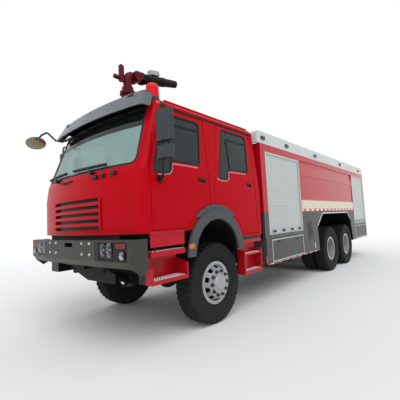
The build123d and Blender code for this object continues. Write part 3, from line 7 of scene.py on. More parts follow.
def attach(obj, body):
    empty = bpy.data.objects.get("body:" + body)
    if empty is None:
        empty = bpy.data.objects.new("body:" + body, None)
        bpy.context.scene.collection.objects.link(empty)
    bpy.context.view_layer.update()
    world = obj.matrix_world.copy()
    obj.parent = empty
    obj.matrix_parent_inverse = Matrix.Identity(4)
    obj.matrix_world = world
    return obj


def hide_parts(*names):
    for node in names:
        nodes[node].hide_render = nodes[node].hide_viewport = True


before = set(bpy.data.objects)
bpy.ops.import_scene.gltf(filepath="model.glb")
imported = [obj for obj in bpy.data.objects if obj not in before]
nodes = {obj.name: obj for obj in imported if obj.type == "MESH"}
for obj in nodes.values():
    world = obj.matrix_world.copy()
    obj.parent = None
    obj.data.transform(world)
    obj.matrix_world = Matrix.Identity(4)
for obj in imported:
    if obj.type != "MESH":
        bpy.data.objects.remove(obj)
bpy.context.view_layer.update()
SIDES = ((1, "left"), (-1, "right"))


def stacked(*parts):
    """Arrays joined along a new last axis, where a part may be one number for all."""
    return np.stack(np.broadcast_arrays(*parts), axis=-1)


def unit(vectors):
    """Vectors with their length made 1."""
    return vectors / np.linalg.norm(vectors, axis=-1, keepdims=True)


# Camera, at the photographer's place.
# A wide lens close to the truck's front left corner, a little above its bumper and tipped slightly over.
PICTURE_SIZE = 400
PICTURE_MIDDLE = (203.03, 196.416)
FOCAL_PIXELS = 305.034
SENSOR_WIDTH = 36
YAW, PITCH, ROLL = 3.842536, 0.077699, -0.049933
eye = np.array([7.0083, 3.9046, 1.4553])
ahead = np.array([math.cos(PITCH) * math.cos(YAW), math.cos(PITCH) * math.sin(YAW), math.sin(PITCH)])
level_right = unit(np.cross(ahead, (0, 0, 1)))
level_up = np.cross(level_right, ahead)
camera_right = math.cos(ROLL) * level_right + math.sin(ROLL) * level_up
camera_up = math.cos(ROLL) * level_up - math.sin(ROLL) * level_right
camera_data = bpy.data.cameras.new("camera")
camera_data.sensor_width = SENSOR_WIDTH
camera_data.lens = SENSOR_WIDTH * FOCAL_PIXELS / PICTURE_SIZE
camera_data.shift_x = (PICTURE_SIZE / 2 - PICTURE_MIDDLE[0]) / PICTURE_SIZE
camera_data.shift_y = (PICTURE_MIDDLE[1] - PICTURE_SIZE / 2) / PICTURE_SIZE
camera_data.clip_end = 200
camera = bpy.data.objects.new("camera", camera_data)
camera.matrix_world = Matrix([[*row, place] for row, place in
                              zip(np.column_stack([camera_right, camera_up, -ahead]), eye)] + [[0, 0, 0, 1]])
bpy.context.scene.collection.objects.link(camera)
bpy.context.scene.camera = camera
bpy.context.scene.view_settings.view_transform = "Standard"


# Ground and light.
# A pale studio floor that fades into a white surround, a large soft lamp high on the truck's front left, a
# weaker one ahead of it, and an even white sky all round.
def math_node(tree, operation, *values):
    """One arithmetic step between sockets and numbers."""
    step = tree.nodes.new("ShaderNodeMath")
    step.operation = operation
    for number, value in enumerate(values):
        if isinstance(value, (int, float)):
            step.inputs[number].default_value = value
        else:
            tree.links.new(value, step.inputs[number])
    return step.outputs[0]


def seen_ray(tree):
    """1 for what the camera sees, straight, mirrored or through glass, and 0 for other light."""
    path = tree.nodes.new("ShaderNodeLightPath")
    seen = math_node(tree, "MAXIMUM", path.outputs["Is Camera Ray"], path.outputs["Is Glossy Ray"])
    return math_node(tree, "MAXIMUM", seen, path.outputs["Is Transmission Ray"])


world = bpy.data.worlds.new("sky")
bpy.context.scene.world = world
world.use_nodes = True
sky = world.node_tree
sky.nodes.clear()
sky_out = sky.nodes.new("ShaderNodeOutputWorld")
sky_light = sky.nodes.new("ShaderNodeBackground")
sky_light.inputs["Color"].default_value = (0.93, 0.97, 1.0, 1)
sky_light.inputs["Strength"].default_value = 0.72
sky_seen = sky.nodes.new("ShaderNodeBackground")
sky_seen.inputs["Color"].default_value = (1, 1, 1, 1)
sky_mix = sky.nodes.new("ShaderNodeMixShader")
sky.links.new(seen_ray(sky), sky_mix.inputs["Fac"])
sky.links.new(sky_light.outputs["Background"], sky_mix.inputs[1])
sky.links.new(sky_seen.outputs["Background"], sky_mix.inputs[2])
sky.links.new(sky_mix.outputs["Shader"], sky_out.inputs["Surface"])


def soft_sun(name, strength, angle, azimuth, height):
    """A lamp like a bright patch of sky, angle degrees wide, that stands at an azimuth and a height."""
    lamp = bpy.data.lights.new(name, "SUN")
    lamp.energy = strength
    lamp.angle = math.radians(angle)
    lamp_object = bpy.data.objects.new(name, lamp)
    lamp_object.rotation_euler = (math.radians(90 - height), 0, math.radians(azimuth + 90))
    bpy.context.scene.collection.objects.link(lamp_object)


soft_sun("high_left_light", strength=1.15, angle=50, azimuth=62, height=52)
soft_sun("front_light", strength=0.35, angle=60, azimuth=5, height=25)


def solid_mesh(name, points, cells, smooth=False):
    """A mesh object from points and the cells that join them."""
    mesh = bpy.data.meshes.new(name)
    mesh.from_pydata(np.asarray(points, float).tolist(), [], np.asarray(cells).tolist())
    mesh.polygons.foreach_set("use_smooth", np.full(len(mesh.polygons), smooth))
    mesh.update()
    made = bpy.data.objects.new(name, mesh)
    bpy.context.scene.collection.objects.link(made)
    return made


def grid_cells(rows, columns, wrap_rows, wrap_columns):
    """The cells of a grid of points. Each joins a point to its next row and next column; wrapping joins the
    last row or column to the first one."""
    index = np.arange(rows * columns).reshape(rows, columns)
    if wrap_rows:
        index = np.vstack([index, index[:1]])
    if wrap_columns:
        index = np.hstack([index, index[:, :1]])
    return stacked(index[:-1, :-1], index[1:, :-1], index[1:, 1:], index[:-1, 1:]).reshape(-1, 4)


def surface(name, grid, wrap_rows=False, wrap_columns=False, flip=False, smooth=True):
    """A mesh through a grid of points; flip turns its faces to the other side."""
    cells = grid_cells(*grid.shape[:2], wrap_rows, wrap_columns)
    return solid_mesh(name, grid.reshape(-1, 3), cells[:, ::-1] if flip else cells, smooth)


def opened(material):
    """A material's node tree, its shader and its Object coordinates."""
    tree = material.node_tree
    return tree, tree.nodes["Principled BSDF"], tree.nodes["Texture Coordinate"].outputs["Object"]


def shader(name):
    """A new material, with its node tree, its shader and its Object coordinates."""
    made = bpy.data.materials.new(name)
    made.use_nodes = True
    made.node_tree.nodes.new("ShaderNodeTexCoord")
    return made, *opened(made)


FLOOR_HALF = 40
FADE_START, FADE_END = 5.5, 14
spread = np.linspace(-1, 1, 41)
floor_line = FLOOR_HALF * np.sign(spread) * np.abs(spread) ** 1.6
floor_x, floor_y = np.meshgrid(floor_line, floor_line, indexing="ij")
floor = surface("floor", stacked(floor_x, floor_y, 0.0))
floor_paint, floor_tree, floor_bsdf, floor_place = shader("pale_floor")
floor_bsdf.inputs["Base Color"].default_value = (0.86, 0.86, 0.86, 1)
floor_bsdf.inputs["Roughness"].default_value = 0.9
away = floor_tree.nodes.new("ShaderNodeVectorMath")
away.operation = "LENGTH"
floor_tree.links.new(floor_place, away.inputs[0])
fade = floor_tree.nodes.new("ShaderNodeMapRange")
fade.inputs["From Min"].default_value = FADE_START
fade.inputs["From Max"].default_value = FADE_END
floor_tree.links.new(away.outputs["Value"], fade.inputs["Value"])
glow = floor_tree.nodes.new("ShaderNodeEmission")
floor_mix = floor_tree.nodes.new("ShaderNodeMixShader")
floor_tree.links.new(math_node(floor_tree, "MULTIPLY", fade.outputs["Result"], seen_ray(floor_tree)),
                     floor_mix.inputs["Fac"])
floor_tree.links.new(floor_bsdf.outputs[0], floor_mix.inputs[1])
floor_tree.links.new(glow.outputs[0], floor_mix.inputs[2])
floor_tree.links.new(floor_mix.outputs[0], floor_tree.nodes["Material Output"].inputs["Surface"])
floor.data.materials.append(floor_paint)


# Chassis, axles, springs and drive line.
# Pressed and cast steel in satin black chassis paint under road dust, with the engine and gearboxes in iron.
def noise(tree, place, scale, detail=3, stretch=None):
    """Soft random mottling between 0 and 1 at a scale, drawn out along an axis where stretch is given."""
    if stretch:
        turn = tree.nodes.new("ShaderNodeMapping")
        turn.inputs["Scale"].default_value = stretch
        tree.links.new(place, turn.inputs["Vector"])
        place = turn.outputs["Vector"]
    cloud = tree.nodes.new("ShaderNodeTexNoise")
    cloud.inputs["Scale"].default_value = scale
    cloud.inputs["Detail"].default_value = detail
    tree.links.new(place, cloud.inputs["Vector"])
    return cloud.outputs["Fac"]


def mix_colour(tree, factor, first, second):
    """One colour blended into another by a factor."""
    blend = tree.nodes.new("ShaderNodeMix")
    blend.data_type = "RGBA"
    for name, value in (("Factor", factor), ("A", first), ("B", second)):
        target = next(s for s in blend.inputs if s.name == name and (s.type == "RGBA" or name == "Factor"))
        if isinstance(value, tuple):
            target.default_value = (*value, 1)
        else:
            tree.links.new(value, target)
    return next(s for s in blend.outputs if s.type == "RGBA")


def tint(tree, bsdf, factor, first, second):
    """The shader's base colour, as one colour blended into another by a factor."""
    tree.links.new(mix_colour(tree, factor, first, second), bsdf.inputs["Base Color"])


def overpaint(tree, bsdf, factor, colour):
    """Another colour laid over the shader's base colour by a factor."""
    tint(tree, bsdf, factor, bsdf.inputs["Base Color"].links[0].from_socket, colour)


def axes(tree, place):
    """The X, Y and Z of a place, as three sockets."""
    split = tree.nodes.new("ShaderNodeSeparateXYZ")
    tree.links.new(place, split.inputs[0])
    return tuple(split.outputs)


def bumps(tree, bsdf, height, strength, distance):
    """A height pattern that tilts the shading, for grain, casting skin or orange peel."""
    relief = tree.nodes.new("ShaderNodeBump")
    relief.inputs["Strength"].default_value = strength
    relief.inputs["Distance"].default_value = distance
    tree.links.new(height, relief.inputs["Height"])
    tree.links.new(relief.outputs["Normal"], bsdf.inputs["Normal"])


ROAD_DUST = (0.20, 0.18, 0.15)
DUST_SCALE, WEAR_SCALE = 9, 14
WEAR_SPREAD = 0.16


def coating(name, colour, rough, metal=0.0, coat=0.0, vary=0.12, vary_scale=2.5, grain=0.15, grain_scale=260,
            grain_depth=0.0006, dust=0.0, dust_height=1.3, stretch=None, shine=0.25):
    """A finish with mottled colour and roughness, a fine grain, and road dust that thickens downwards."""
    made, tree, bsdf, place = shader(name)
    darker = tuple(c * (1 - vary) for c in colour)
    lighter = tuple(min(1, c * (1 + vary)) for c in colour)
    tone = mix_colour(tree, noise(tree, place, vary_scale, 4), darker, lighter)
    if dust:
        height = axes(tree, place)[2]
        fall = math_node(tree, "SUBTRACT", 1.0, math_node(tree, "DIVIDE", height, dust_height))
        patch = math_node(tree, "MULTIPLY", math_node(tree, "MAXIMUM", fall, 0.0),
                          noise(tree, place, DUST_SCALE, 5))
        tone = mix_colour(tree, math_node(tree, "MULTIPLY", patch, dust), tone, ROAD_DUST)
    tree.links.new(tone, bsdf.inputs["Base Color"])
    wear = math_node(tree, "MULTIPLY_ADD", noise(tree, place, WEAR_SCALE, 4, stretch), WEAR_SPREAD,
                     rough - WEAR_SPREAD / 2)
    tree.links.new(math_node(tree, "MAXIMUM", wear, 0.03), bsdf.inputs["Roughness"])
    bsdf.inputs["Metallic"].default_value = metal
    bsdf.inputs["Coat Weight"].default_value = coat
    bsdf.inputs["Coat Roughness"].default_value = 0.06
    bsdf.inputs["Coat IOR"].default_value = 1.35
    bsdf.inputs["Specular IOR Level"].default_value = 0.5 if metal > 0.5 else shine
    bumps(tree, bsdf, noise(tree, place, grain_scale, 2, stretch), grain, grain_depth)
    return made


def dress(material, *names):
    """The same material in every slot of each CAD node."""
    for name in names:
        for place in nodes[name].material_slots:
            place.material = material


chassis_black = coating("chassis_black", (0.010, 0.010, 0.011), 0.55, vary=0.3, grain=0.3, grain_scale=90,
                        dust=0.12, shine=0.15)
dress(chassis_black, "chassis_frame", "tow_jaws", "leaf_springs", "front_axle", "rear_axles", "knuckle_left",
      "knuckle_right", "track_rod")
cast_iron = coating("cast_iron", (0.030, 0.030, 0.030), 0.62, metal=0.3, vary=0.25, grain=0.6,
                    grain_scale=140, grain_depth=0.002, dust=0.2)
dress(cast_iron, "drive_line")


# Tyres.
# Heavy radial truck tyres with open shoulder blocks, two zigzag grooves and raised rings on the sidewalls,
# moulded in black rubber that is dusty on its flanks.
TYRE_RADIUS = 0.5625
WHEEL_Z = 0.5625
FRONT_TYRE_Y = 1.015
TWIN_Y, TWIN_HALF_GAP = 0.910, 0.1725
AXLES = (("front", "", 3.535, (FRONT_TYRE_Y,)),
         ("middle", "s", -1.265, (TWIN_Y - TWIN_HALF_GAP, TWIN_Y + TWIN_HALF_GAP)),
         ("rear", "s", -2.615, (TWIN_Y - TWIN_HALF_GAP, TWIN_Y + TWIN_HALF_GAP)))
SIDEWALL = np.array([(0.300, 0.108), (0.312, 0.124), (0.320, 0.131), (0.330, 0.136), (0.352, 0.1465),
                     (0.358, 0.1485), (0.364, 0.1485), (0.385, 0.1545), (0.408, 0.1572), (0.430, 0.1560),
                     (0.452, 0.1525), (0.457, 0.1540), (0.463, 0.1515), (0.485, 0.1490), (0.505, 0.1470),
                     (0.520, 0.1455), (0.534, 0.1435), (0.540, 0.1420), (0.549, 0.136), (0.555, 0.128),
                     (0.5595, 0.119), (0.5615, 0.110)])
CROWN_ACROSS = (0.096, 0.082, 0.070, 0.062, 0.052, 0.046, 0.036, 0.030, 0.018, 0.006)
TREAD_PITCHES = 42
BLOCKS_FROM, BLOCK_FOOT, BLOCK_GAP, BLOCK_LEAN, BLOCK_DEPTH = 0.056, 0.515, 0.36, 3.5, 0.016
GROOVE_Y, GROOVE_SWING, GROOVE_HALF, GROOVE_DEPTH = 0.041, 0.007, 0.0065, 0.015
CROWN_HALF, CROWN_GAP, CROWN_LEAN, CROWN_DEPTH = 0.032, 0.2, 6, 0.010
TREAD_EDGE, TREAD_SINK, FLANK_SINK = 0.53, 0.017, 0.006
tyre_rubber = coating("tyre_rubber", (0.013, 0.013, 0.014), 0.75, vary=0.3, vary_scale=7, grain=0.4,
                      grain_scale=500, dust=0.08, dust_height=1.2, shine=0.15)


def tyre_grid(columns=336):
    """Points of one tyre about its axle: a half profile from bead to crown is mirrored and swept round it,
    and sunk where cross grooves cut the shoulders and zigzag grooves run round the crown."""
    half = np.concatenate([SIDEWALL, [(TYRE_RADIUS, across) for across in CROWN_ACROSS]])
    radius, across = np.concatenate([half, half[::-1] * (1, -1)]).T
    turn, wide = np.meshgrid(np.linspace(0, 2 * math.pi, columns, endpoint=False), across, indexing="ij")
    high = np.broadcast_to(radius, turn.shape).copy()
    pitches = turn * TREAD_PITCHES / (2 * math.pi)
    out = np.abs(wide)
    shoulder = (out > BLOCKS_FROM) & ((pitches + out * BLOCK_LEAN) % 1 < BLOCK_GAP) & (high > BLOCK_FOOT)
    zigzag = GROOVE_Y + GROOVE_SWING * np.sign(np.sin(turn * TREAD_PITCHES))
    groove = np.abs(out - zigzag) < GROOVE_HALF
    crown = (out < CROWN_HALF) & ((pitches + wide * CROWN_LEAN) % 1 < CROWN_GAP)
    depth = shoulder * BLOCK_DEPTH + groove * GROOVE_DEPTH + crown * CROWN_DEPTH
    high -= np.where(high > TREAD_EDGE, np.minimum(depth, TREAD_SINK), np.minimum(depth, FLANK_SINK))
    return stacked(high * np.cos(turn), wide, high * np.sin(turn))


def copies(name, grid, places, wrap_columns=False, smooth=True):
    """The same grid of points, closed from its last row to its first, set down at each place as one mesh."""
    cells = grid_cells(*grid.shape[:2], True, wrap_columns)[:, [0, 3, 2, 1]]
    flat = grid.reshape(-1, 3)
    places = np.asarray(places, float)
    offsets = (np.arange(len(places)) * len(flat))[:, None, None]
    return solid_mesh(name, (flat + places[:, None]).reshape(-1, 3), (cells + offsets).reshape(-1, 4), smooth)


def fit(piece, material, body):
    """A new piece's material and the body that it rides on."""
    piece.data.materials.append(material)
    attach(piece, body)


tyre_points = tyre_grid()
for side, word in SIDES:
    for axle, plural, x, middles in AXLES:
        tread = copies(f"{axle}_tread{plural}_{word}", tyre_points, [(x, side * y, WHEEL_Z) for y in middles],
                       wrap_columns=True)
        tread.data.set_sharp_from_angle(angle=math.radians(32))
        fit(tread, tyre_rubber, f"{axle}_wheel{plural}_{word}")
        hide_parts(f"{axle}_tyre{plural}_{word}")


# Rims and hubs.
# Pressed steel discs in satin silver enamel. Ten flanged nuts hold each one, on studs that stand out of them.
NUT_COUNT = 10
NUT_PROFILE = ((0, 0.0), (0, 0.029), (0.004, 0.029), (0.010, 0.018), (0.032, 0.0165), (0.034, 0.012),
               (0.034, 0.010), (0.046, 0.0095), (0.048, 0.007), (0.048, 0.0))
NUT_CIRCLES = {"front": (FRONT_TYRE_Y + 0.179, 0.168), "middle": (TWIN_Y + 0.023, 0.190),
               "rear": (TWIN_Y + 0.023, 0.190)}


def all_of(tree, tests):
    """1 where every test holds, as the product of them all."""
    held = tests[0]
    for test in tests[1:]:
        held = math_node(tree, "MULTIPLY", held, test)
    return held


def repaint(material, colour, x=None, y=None, side=None, z=None, plane=None):
    """Another colour inside limits along X, along Y, out from the middle plane, and in height. plane adds the
    limit ax + by^2 + cz < d."""
    tree, bsdf, place = opened(material)
    along, across, up = axes(tree, place)
    tests = []
    for socket, limits in ((along, x), (across, y), (up, z), (math_node(tree, "ABSOLUTE", across), side)):
        if limits:
            tests.append(math_node(tree, "GREATER_THAN", socket, limits[0]))
            tests.append(math_node(tree, "LESS_THAN", socket, limits[1]))
    if plane:
        total = math_node(tree, "MULTIPLY", along, plane[0])
        total = math_node(tree, "MULTIPLY_ADD", math_node(tree, "MULTIPLY", across, across), plane[1], total)
        total = math_node(tree, "MULTIPLY_ADD", up, plane[2], total)
        tests.append(math_node(tree, "LESS_THAN", total, plane[3]))
    overpaint(tree, bsdf, all_of(tree, tests), colour)


def turned(profile, count):
    """Points of a profile of (along, radius) turned about the Y axis in so many steps."""
    along, radius = np.array(profile).T
    angle = np.linspace(0, 2 * math.pi, count, endpoint=False)
    return stacked(np.outer(np.cos(angle), radius), along, np.outer(np.sin(angle), radius))


def turned_out(profile, count, side):
    """A turned form that faces out on its own side of the truck, with its faces outwards."""
    grid = turned(profile, count) * (1, side, 1)
    return grid if side < 0 else grid[::-1]


rim_silver = coating("rim_silver", (0.40, 0.41, 0.42), 0.40, metal=0.3, coat=0.1, vary=0.08, vary_scale=6,
                     grain=0.2, grain_scale=200, dust=0.35, dust_height=1.1)
# Painted shade: the front rims' inboard parts, deep inside the tyres, are painted near black.
repaint(rim_silver, (0.012, 0.012, 0.012), side=(0, 1.105), x=(3, 4))
nut_steel = coating("nut_steel", (0.055, 0.055, 0.06), 0.4, metal=0.6, vary=0.5, vary_scale=60, grain=0.2,
                    dust=0.05)
nut_angles = np.linspace(0, 2 * math.pi, NUT_COUNT, endpoint=False)
for side, word in SIDES:
    for axle, plural, x, _ in AXLES:
        disc_y, circle = NUT_CIRCLES[axle]
        centres = stacked(x + circle * np.cos(nut_angles), side * disc_y,
                          WHEEL_Z + circle * np.sin(nut_angles))
        nuts = copies(f"{axle}_nuts_{word}", turned_out(NUT_PROFILE, 12, side), centres)
        nuts.data.set_sharp_from_angle(angle=math.radians(40))
        fit(nuts, nut_steel, f"{axle}_wheel{plural}_{word}")
        dress(rim_silver, f"{axle}_rim{plural}_{word}")


# Cab shell.
# Steel panels in deep red gloss paint over grey inner trim. The doors hang in 6 mm gaps. What lies more than
# 30 mm within the sides and 45 mm within the front is trim; both lean in evenly above their belt lines.
RED = (0.47, 0.0003, 0.007)
INNER_TRIM = (0.30, 0.33, 0.33)
SHADOW = (0.006, 0.006, 0.006)
CAB_HALF_WIDTH, CAB_FRONT_X = 1.238, 5.035
SIDE_WALL, FRONT_WALL = 0.030, 0.045
SIDE_BELT_Z, FRONT_BELT_Z = 1.92, 2.007
SIDE_LEAN, FRONT_LEAN = -0.0905, -0.381
FRONT_BOW = 0.102
TRIM_BACK_X, TRIM_TOP_Z = 2.355, 2.975


def bowed_depth(tree, x, y):
    """How far ahead a point lies once the cab's bow is straightened: x plus the bow times y squared."""
    return math_node(tree, "MULTIPLY_ADD", math_node(tree, "MULTIPLY", y, y), FRONT_BOW, x)


def inner_limit(tree, z, belt, lean, at_belt):
    """The inner face's place at a height: level up to the belt line, then falling back evenly."""
    over = math_node(tree, "MAXIMUM", math_node(tree, "SUBTRACT", z, belt), 0.0)
    return math_node(tree, "MULTIPLY_ADD", over, lean, at_belt)


cab_red = coating("cab_red", RED, 0.30, coat=0.12, vary=0.05, vary_scale=1.2, grain=0.03, grain_scale=40,
                  dust=0.02, dust_height=1.9, shine=0.03)
cab_tree, cab_bsdf, cab_place = opened(cab_red)
cab_x, cab_y, cab_z = axes(cab_tree, cab_place)
half_width = inner_limit(cab_tree, cab_z, SIDE_BELT_Z, SIDE_LEAN, CAB_HALF_WIDTH - SIDE_WALL)
front_depth = inner_limit(cab_tree, cab_z, FRONT_BELT_Z, FRONT_LEAN, CAB_FRONT_X - FRONT_WALL)
limits = ((math_node(cab_tree, "ABSOLUTE", cab_y), "LESS_THAN", half_width),
          (bowed_depth(cab_tree, cab_x, cab_y), "LESS_THAN", front_depth),
          (cab_x, "GREATER_THAN", TRIM_BACK_X), (cab_z, "LESS_THAN", TRIM_TOP_Z))
inside = all_of(cab_tree, [math_node(cab_tree, test, value, limit) for value, test, limit in limits])
overpaint(cab_tree, cab_bsdf, inside, INNER_TRIM)
repaint(cab_red, SHADOW, x=(4.5, 5), side=(0, 1.03), z=(2.893, 3.03))
dress(cab_red, "cab_front", "cab_sides", "cab_back", "cab_roof", "door_left", "door_right", "crew_door_left",
      "crew_door_right")
cabin_black = coating("cabin_black", (0.020, 0.020, 0.022), 0.7, vary=0.2, grain=0.5, grain_scale=400)
dress(cabin_black, "cab_floor")


# Windows.
# Green-grey safety glass, held in the cab and the doors by black rubber seals. The front screen has a printed
# dark band along its top.
CAB_LEVELS = (1.172, 1.860, 2.080, 2.925, 3.010)
CAB_HALF_WIDTHS = (1.238, 1.238, 1.224, 1.147, 1.088)
CAB_NOSES = (5.035, 5.035, 5.007, 4.685, 4.640)
CAB_BOW_CIRCLE = 9.8
SCREEN_TILT = 0.38
DOOR_WINDOWS = {
    "front_door": [(4.695, 2.042, 0.040), (4.655, 2.230, 0.030), (4.475, 2.828, 0.050), (3.765, 2.828, 0.070),
                   (3.847, 2.206, 0.045), (4.385, 2.206, 0.012), (4.385, 2.042, 0.050)],
    "rear_door": [(3.460, 2.040, 0.060), (3.250, 2.845, 0.050), (2.550, 2.845, 0.080), (2.620, 2.203, 0.045),
                  (3.140, 2.203, 0.012), (3.190, 2.040, 0.050)],
}
SCREEN_LOW, SCREEN_HIGH = 2.150, 2.910
SCREEN_HALF_LOW, SCREEN_HALF_HIGH = 1.110, 1.010
SEAL_SECTION = ((-0.020, -0.012), (-0.020, -0.001), (-0.014, 0.003), (0.004, 0.004), (0.009, 0.001),
                (0.009, -0.012))
SCREEN_SEAL_SECTION = ((-0.022, -0.014), (-0.022, -0.003), (-0.014, 0.002), (0.006, 0.003), (0.012, 0.000),
                       (0.012, -0.012))
BAND_INSET = 0.012
BAND_SECTION = ((2.655, -0.0065), (2.74, -0.0065), (2.82, -0.0065), (2.898, -0.0065), (2.898, -0.0085),
                (2.655, -0.0085))


def window_glass(name, colour, alpha):
    """Tinted glass with a faint vertical smear in its colour and gloss."""
    made, tree, bsdf, place = shader(name)
    smear = noise(tree, place, 3.0, 5, (1, 1, 0.35))
    tint(tree, bsdf, smear, tuple(c * 0.8 for c in colour), tuple(c * 1.2 for c in colour))
    tree.links.new(math_node(tree, "MULTIPLY_ADD", smear, 0.05, 0.02), bsdf.inputs["Roughness"])
    bsdf.inputs["Specular IOR Level"].default_value = 0.35
    bsdf.inputs["Alpha"].default_value = alpha
    return made


def cab_side(z):
    """The cab's half width at a height."""
    return np.interp(z, CAB_LEVELS, CAB_HALF_WIDTHS)


def cab_nose(y, z):
    """How far ahead the cab's bowed front lies at a place seen from ahead."""
    return np.interp(z, CAB_LEVELS, CAB_NOSES) - y ** 2 / CAB_BOW_CIRCLE


def on_side(flat, off, side):
    """A place of X and Z, set on the cab's side and lifted off it."""
    x, z = flat.T
    return stacked(x, side * (cab_side(z) + off), z)


def on_front(flat, off):
    """A place seen from ahead, set on the bowed front and lifted off it."""
    y, z = flat.T
    return stacked(cab_nose(y, z) + off, y, z + off * SCREEN_TILT)


def rounded(corners, per_corner=7):
    """A closed outline through corners, each cut by an arc of its own radius that touches both sides."""
    points = np.array([corner[:2] for corner in corners], float)
    out = []
    for k, (_, _, radius) in enumerate(corners):
        here, before, after = points[k], points[k - 1], points[(k + 1) % len(points)]
        back, on = unit(before - here), unit(after - here)
        half_angle = math.acos(float(np.clip(np.dot(back, on), -1, 1))) / 2
        reach = radius / math.tan(half_angle)
        centre = here + unit(back + on) * radius / math.sin(half_angle)
        start, end = here + back * reach - centre, here + on * reach - centre
        first = math.atan2(start[1], start[0])
        sweep = (math.atan2(end[1], end[0]) - first + math.pi) % (2 * math.pi) - math.pi
        angles = first + sweep * np.linspace(0, 1, per_corner)
        out.append(centre + radius * stacked(np.cos(angles), np.sin(angles)))
    return np.concatenate(out)


def densify(outline, longest):
    """The outline with extra points on its straight runs, none further apart than longest."""
    out = []
    for here, after in zip(outline, np.roll(outline, -1, axis=0)):
        steps = max(1, int(math.ceil(np.linalg.norm(after - here) / longest)))
        out.append(here + (after - here) * np.linspace(0, 1, steps, endpoint=False)[:, None])
    return np.concatenate(out)


def outline_normals(outline):
    """Unit vectors across a closed outline, pointing out of it."""
    run = np.roll(outline, -1, axis=0) - np.roll(outline, 1, axis=0)
    across = unit(stacked(run[:, 1], -run[:, 0]))
    area = np.sum(outline[:, 0] * np.roll(outline[:, 1], -1) - np.roll(outline[:, 0], -1) * outline[:, 1])
    return across if area > 0 else -across


def ring_around(name, outline, section, flip, lift, *place):
    """A moulding along a closed outline: each point of its section is (out across the outline, out of the
    face). lift turns outline places and a height off the face into points in space."""
    normals = outline_normals(outline)
    strips = [lift(outline + normals * across, off, *place) for across, off in section]
    return surface(name, np.stack(strips, axis=1), wrap_rows=True, wrap_columns=True, flip=flip)


side_glass = window_glass("side_glass", (0.014, 0.026, 0.027), 0.74)
screen_glass = window_glass("screen_glass", (0.46, 0.70, 0.66), 0.34)
dress(side_glass, "door_glass_left", "door_glass_right", "crew_door_glass_left", "crew_door_glass_right",
      "rear_window")
dress(screen_glass, "windscreen")
seal_rubber = coating("seal_rubber", (0.012, 0.012, 0.013), 0.55, vary=0.2, grain=0.3, grain_scale=350)
for door, corners in DOOR_WINDOWS.items():
    for side, word in SIDES:
        seal = ring_around(f"{door}_seal_{word}", rounded(corners), SEAL_SECTION, side > 0, on_side, side)
        fit(seal, seal_rubber, f"{door}_{word}")
screen_outline = rounded([(-SCREEN_HALF_LOW, SCREEN_LOW, 0.090), (SCREEN_HALF_LOW, SCREEN_LOW, 0.090),
                          (SCREEN_HALF_HIGH, SCREEN_HIGH, 0.060), (-SCREEN_HALF_HIGH, SCREEN_HIGH, 0.060)], 9)
screen_seal = ring_around("screen_seal", densify(screen_outline, 0.06), SCREEN_SEAL_SECTION, False, on_front)
fit(screen_seal, seal_rubber, "truck")

band_across = np.linspace(-1, 1, 45)
band_rows = []
for height, off in BAND_SECTION:
    half = np.interp(height, [SCREEN_LOW, SCREEN_HIGH], [SCREEN_HALF_LOW, SCREEN_HALF_HIGH]) - BAND_INSET
    band_rows.append(on_front(stacked(band_across * half, height), off))
shade_band = surface("screen_shade_band", np.stack(band_rows, axis=0), wrap_rows=True, flip=True)
shade_print, shade_tree, shade_bsdf, shade_place = shader("shade_print")
tint(shade_tree, shade_bsdf, noise(shade_tree, shade_place, 26, 2), (0.003, 0.004, 0.004),
     (0.016, 0.021, 0.020))
shade_bsdf.inputs["Roughness"].default_value = 0.12
shade_bsdf.inputs["Alpha"].default_value = 0.94
fit(shade_band, shade_print, "truck")


# Drip rails, roof beads and window dividers.
# Folded steel gutters along the doors' tops over black strips that are their painted shadows, a pressed bead
# along each roof edge, and the posts and sash bars in black rubber channel that divide each door's window.
BOX_CORNERS = np.array([(x, y, z) for z in (0, 1) for x, y in ((0, 0), (1, 0), (1, 1), (0, 1))])
BOX_FACES = np.array([[0, 3, 2, 1], [4, 5, 6, 7], [0, 1, 5, 4], [1, 2, 6, 5], [2, 3, 7, 6], [3, 0, 4, 7]])
GLASS_SINK = 0.006
SASH_Z, SASH_HALF = 2.700, 0.012
POST_LOW_Z, POST_FOOT_Z, POST_LEAN, POST_HALF = 2.212, 2.215, 0.010, 0.011
POST_BACK, POST_FACE, POST_LAP = 0.004, 0.005, 0.008
POSTS = (("front_door", 3.790, 4.395, 4.385), ("rear_door", 2.570, 3.100, 3.130))


def bars(name, spans, edge, material, segments=2, body="truck"):
    """Rectangular bars, each between two corners, in one mesh, with their edges rounded by a bevel."""
    spans = np.asarray(spans, float)
    low, high = spans.min(axis=1), spans.max(axis=1)
    points = low[:, None, :] + (high - low)[:, None, :] * BOX_CORNERS
    cells = BOX_FACES + (np.arange(len(spans)) * 8)[:, None, None]
    made = solid_mesh(name, points.reshape(-1, 3), cells.reshape(-1, 4))
    bevel = made.modifiers.new("edges", "BEVEL")
    bevel.width = edge
    bevel.segments = segments
    fit(made, material, body)


def paired_bars(name, spans, edge, material, segments=2, body=None):
    """The same bars on both sides of the truck, mirrored in its middle plane, riding on the truck or on each
    side's own body."""
    for side, word in SIDES:
        bars(f"{name}_{word}", np.asarray(spans) * (1, side, 1), edge, material, segments,
             f"{body}_{word}" if body else "truck")


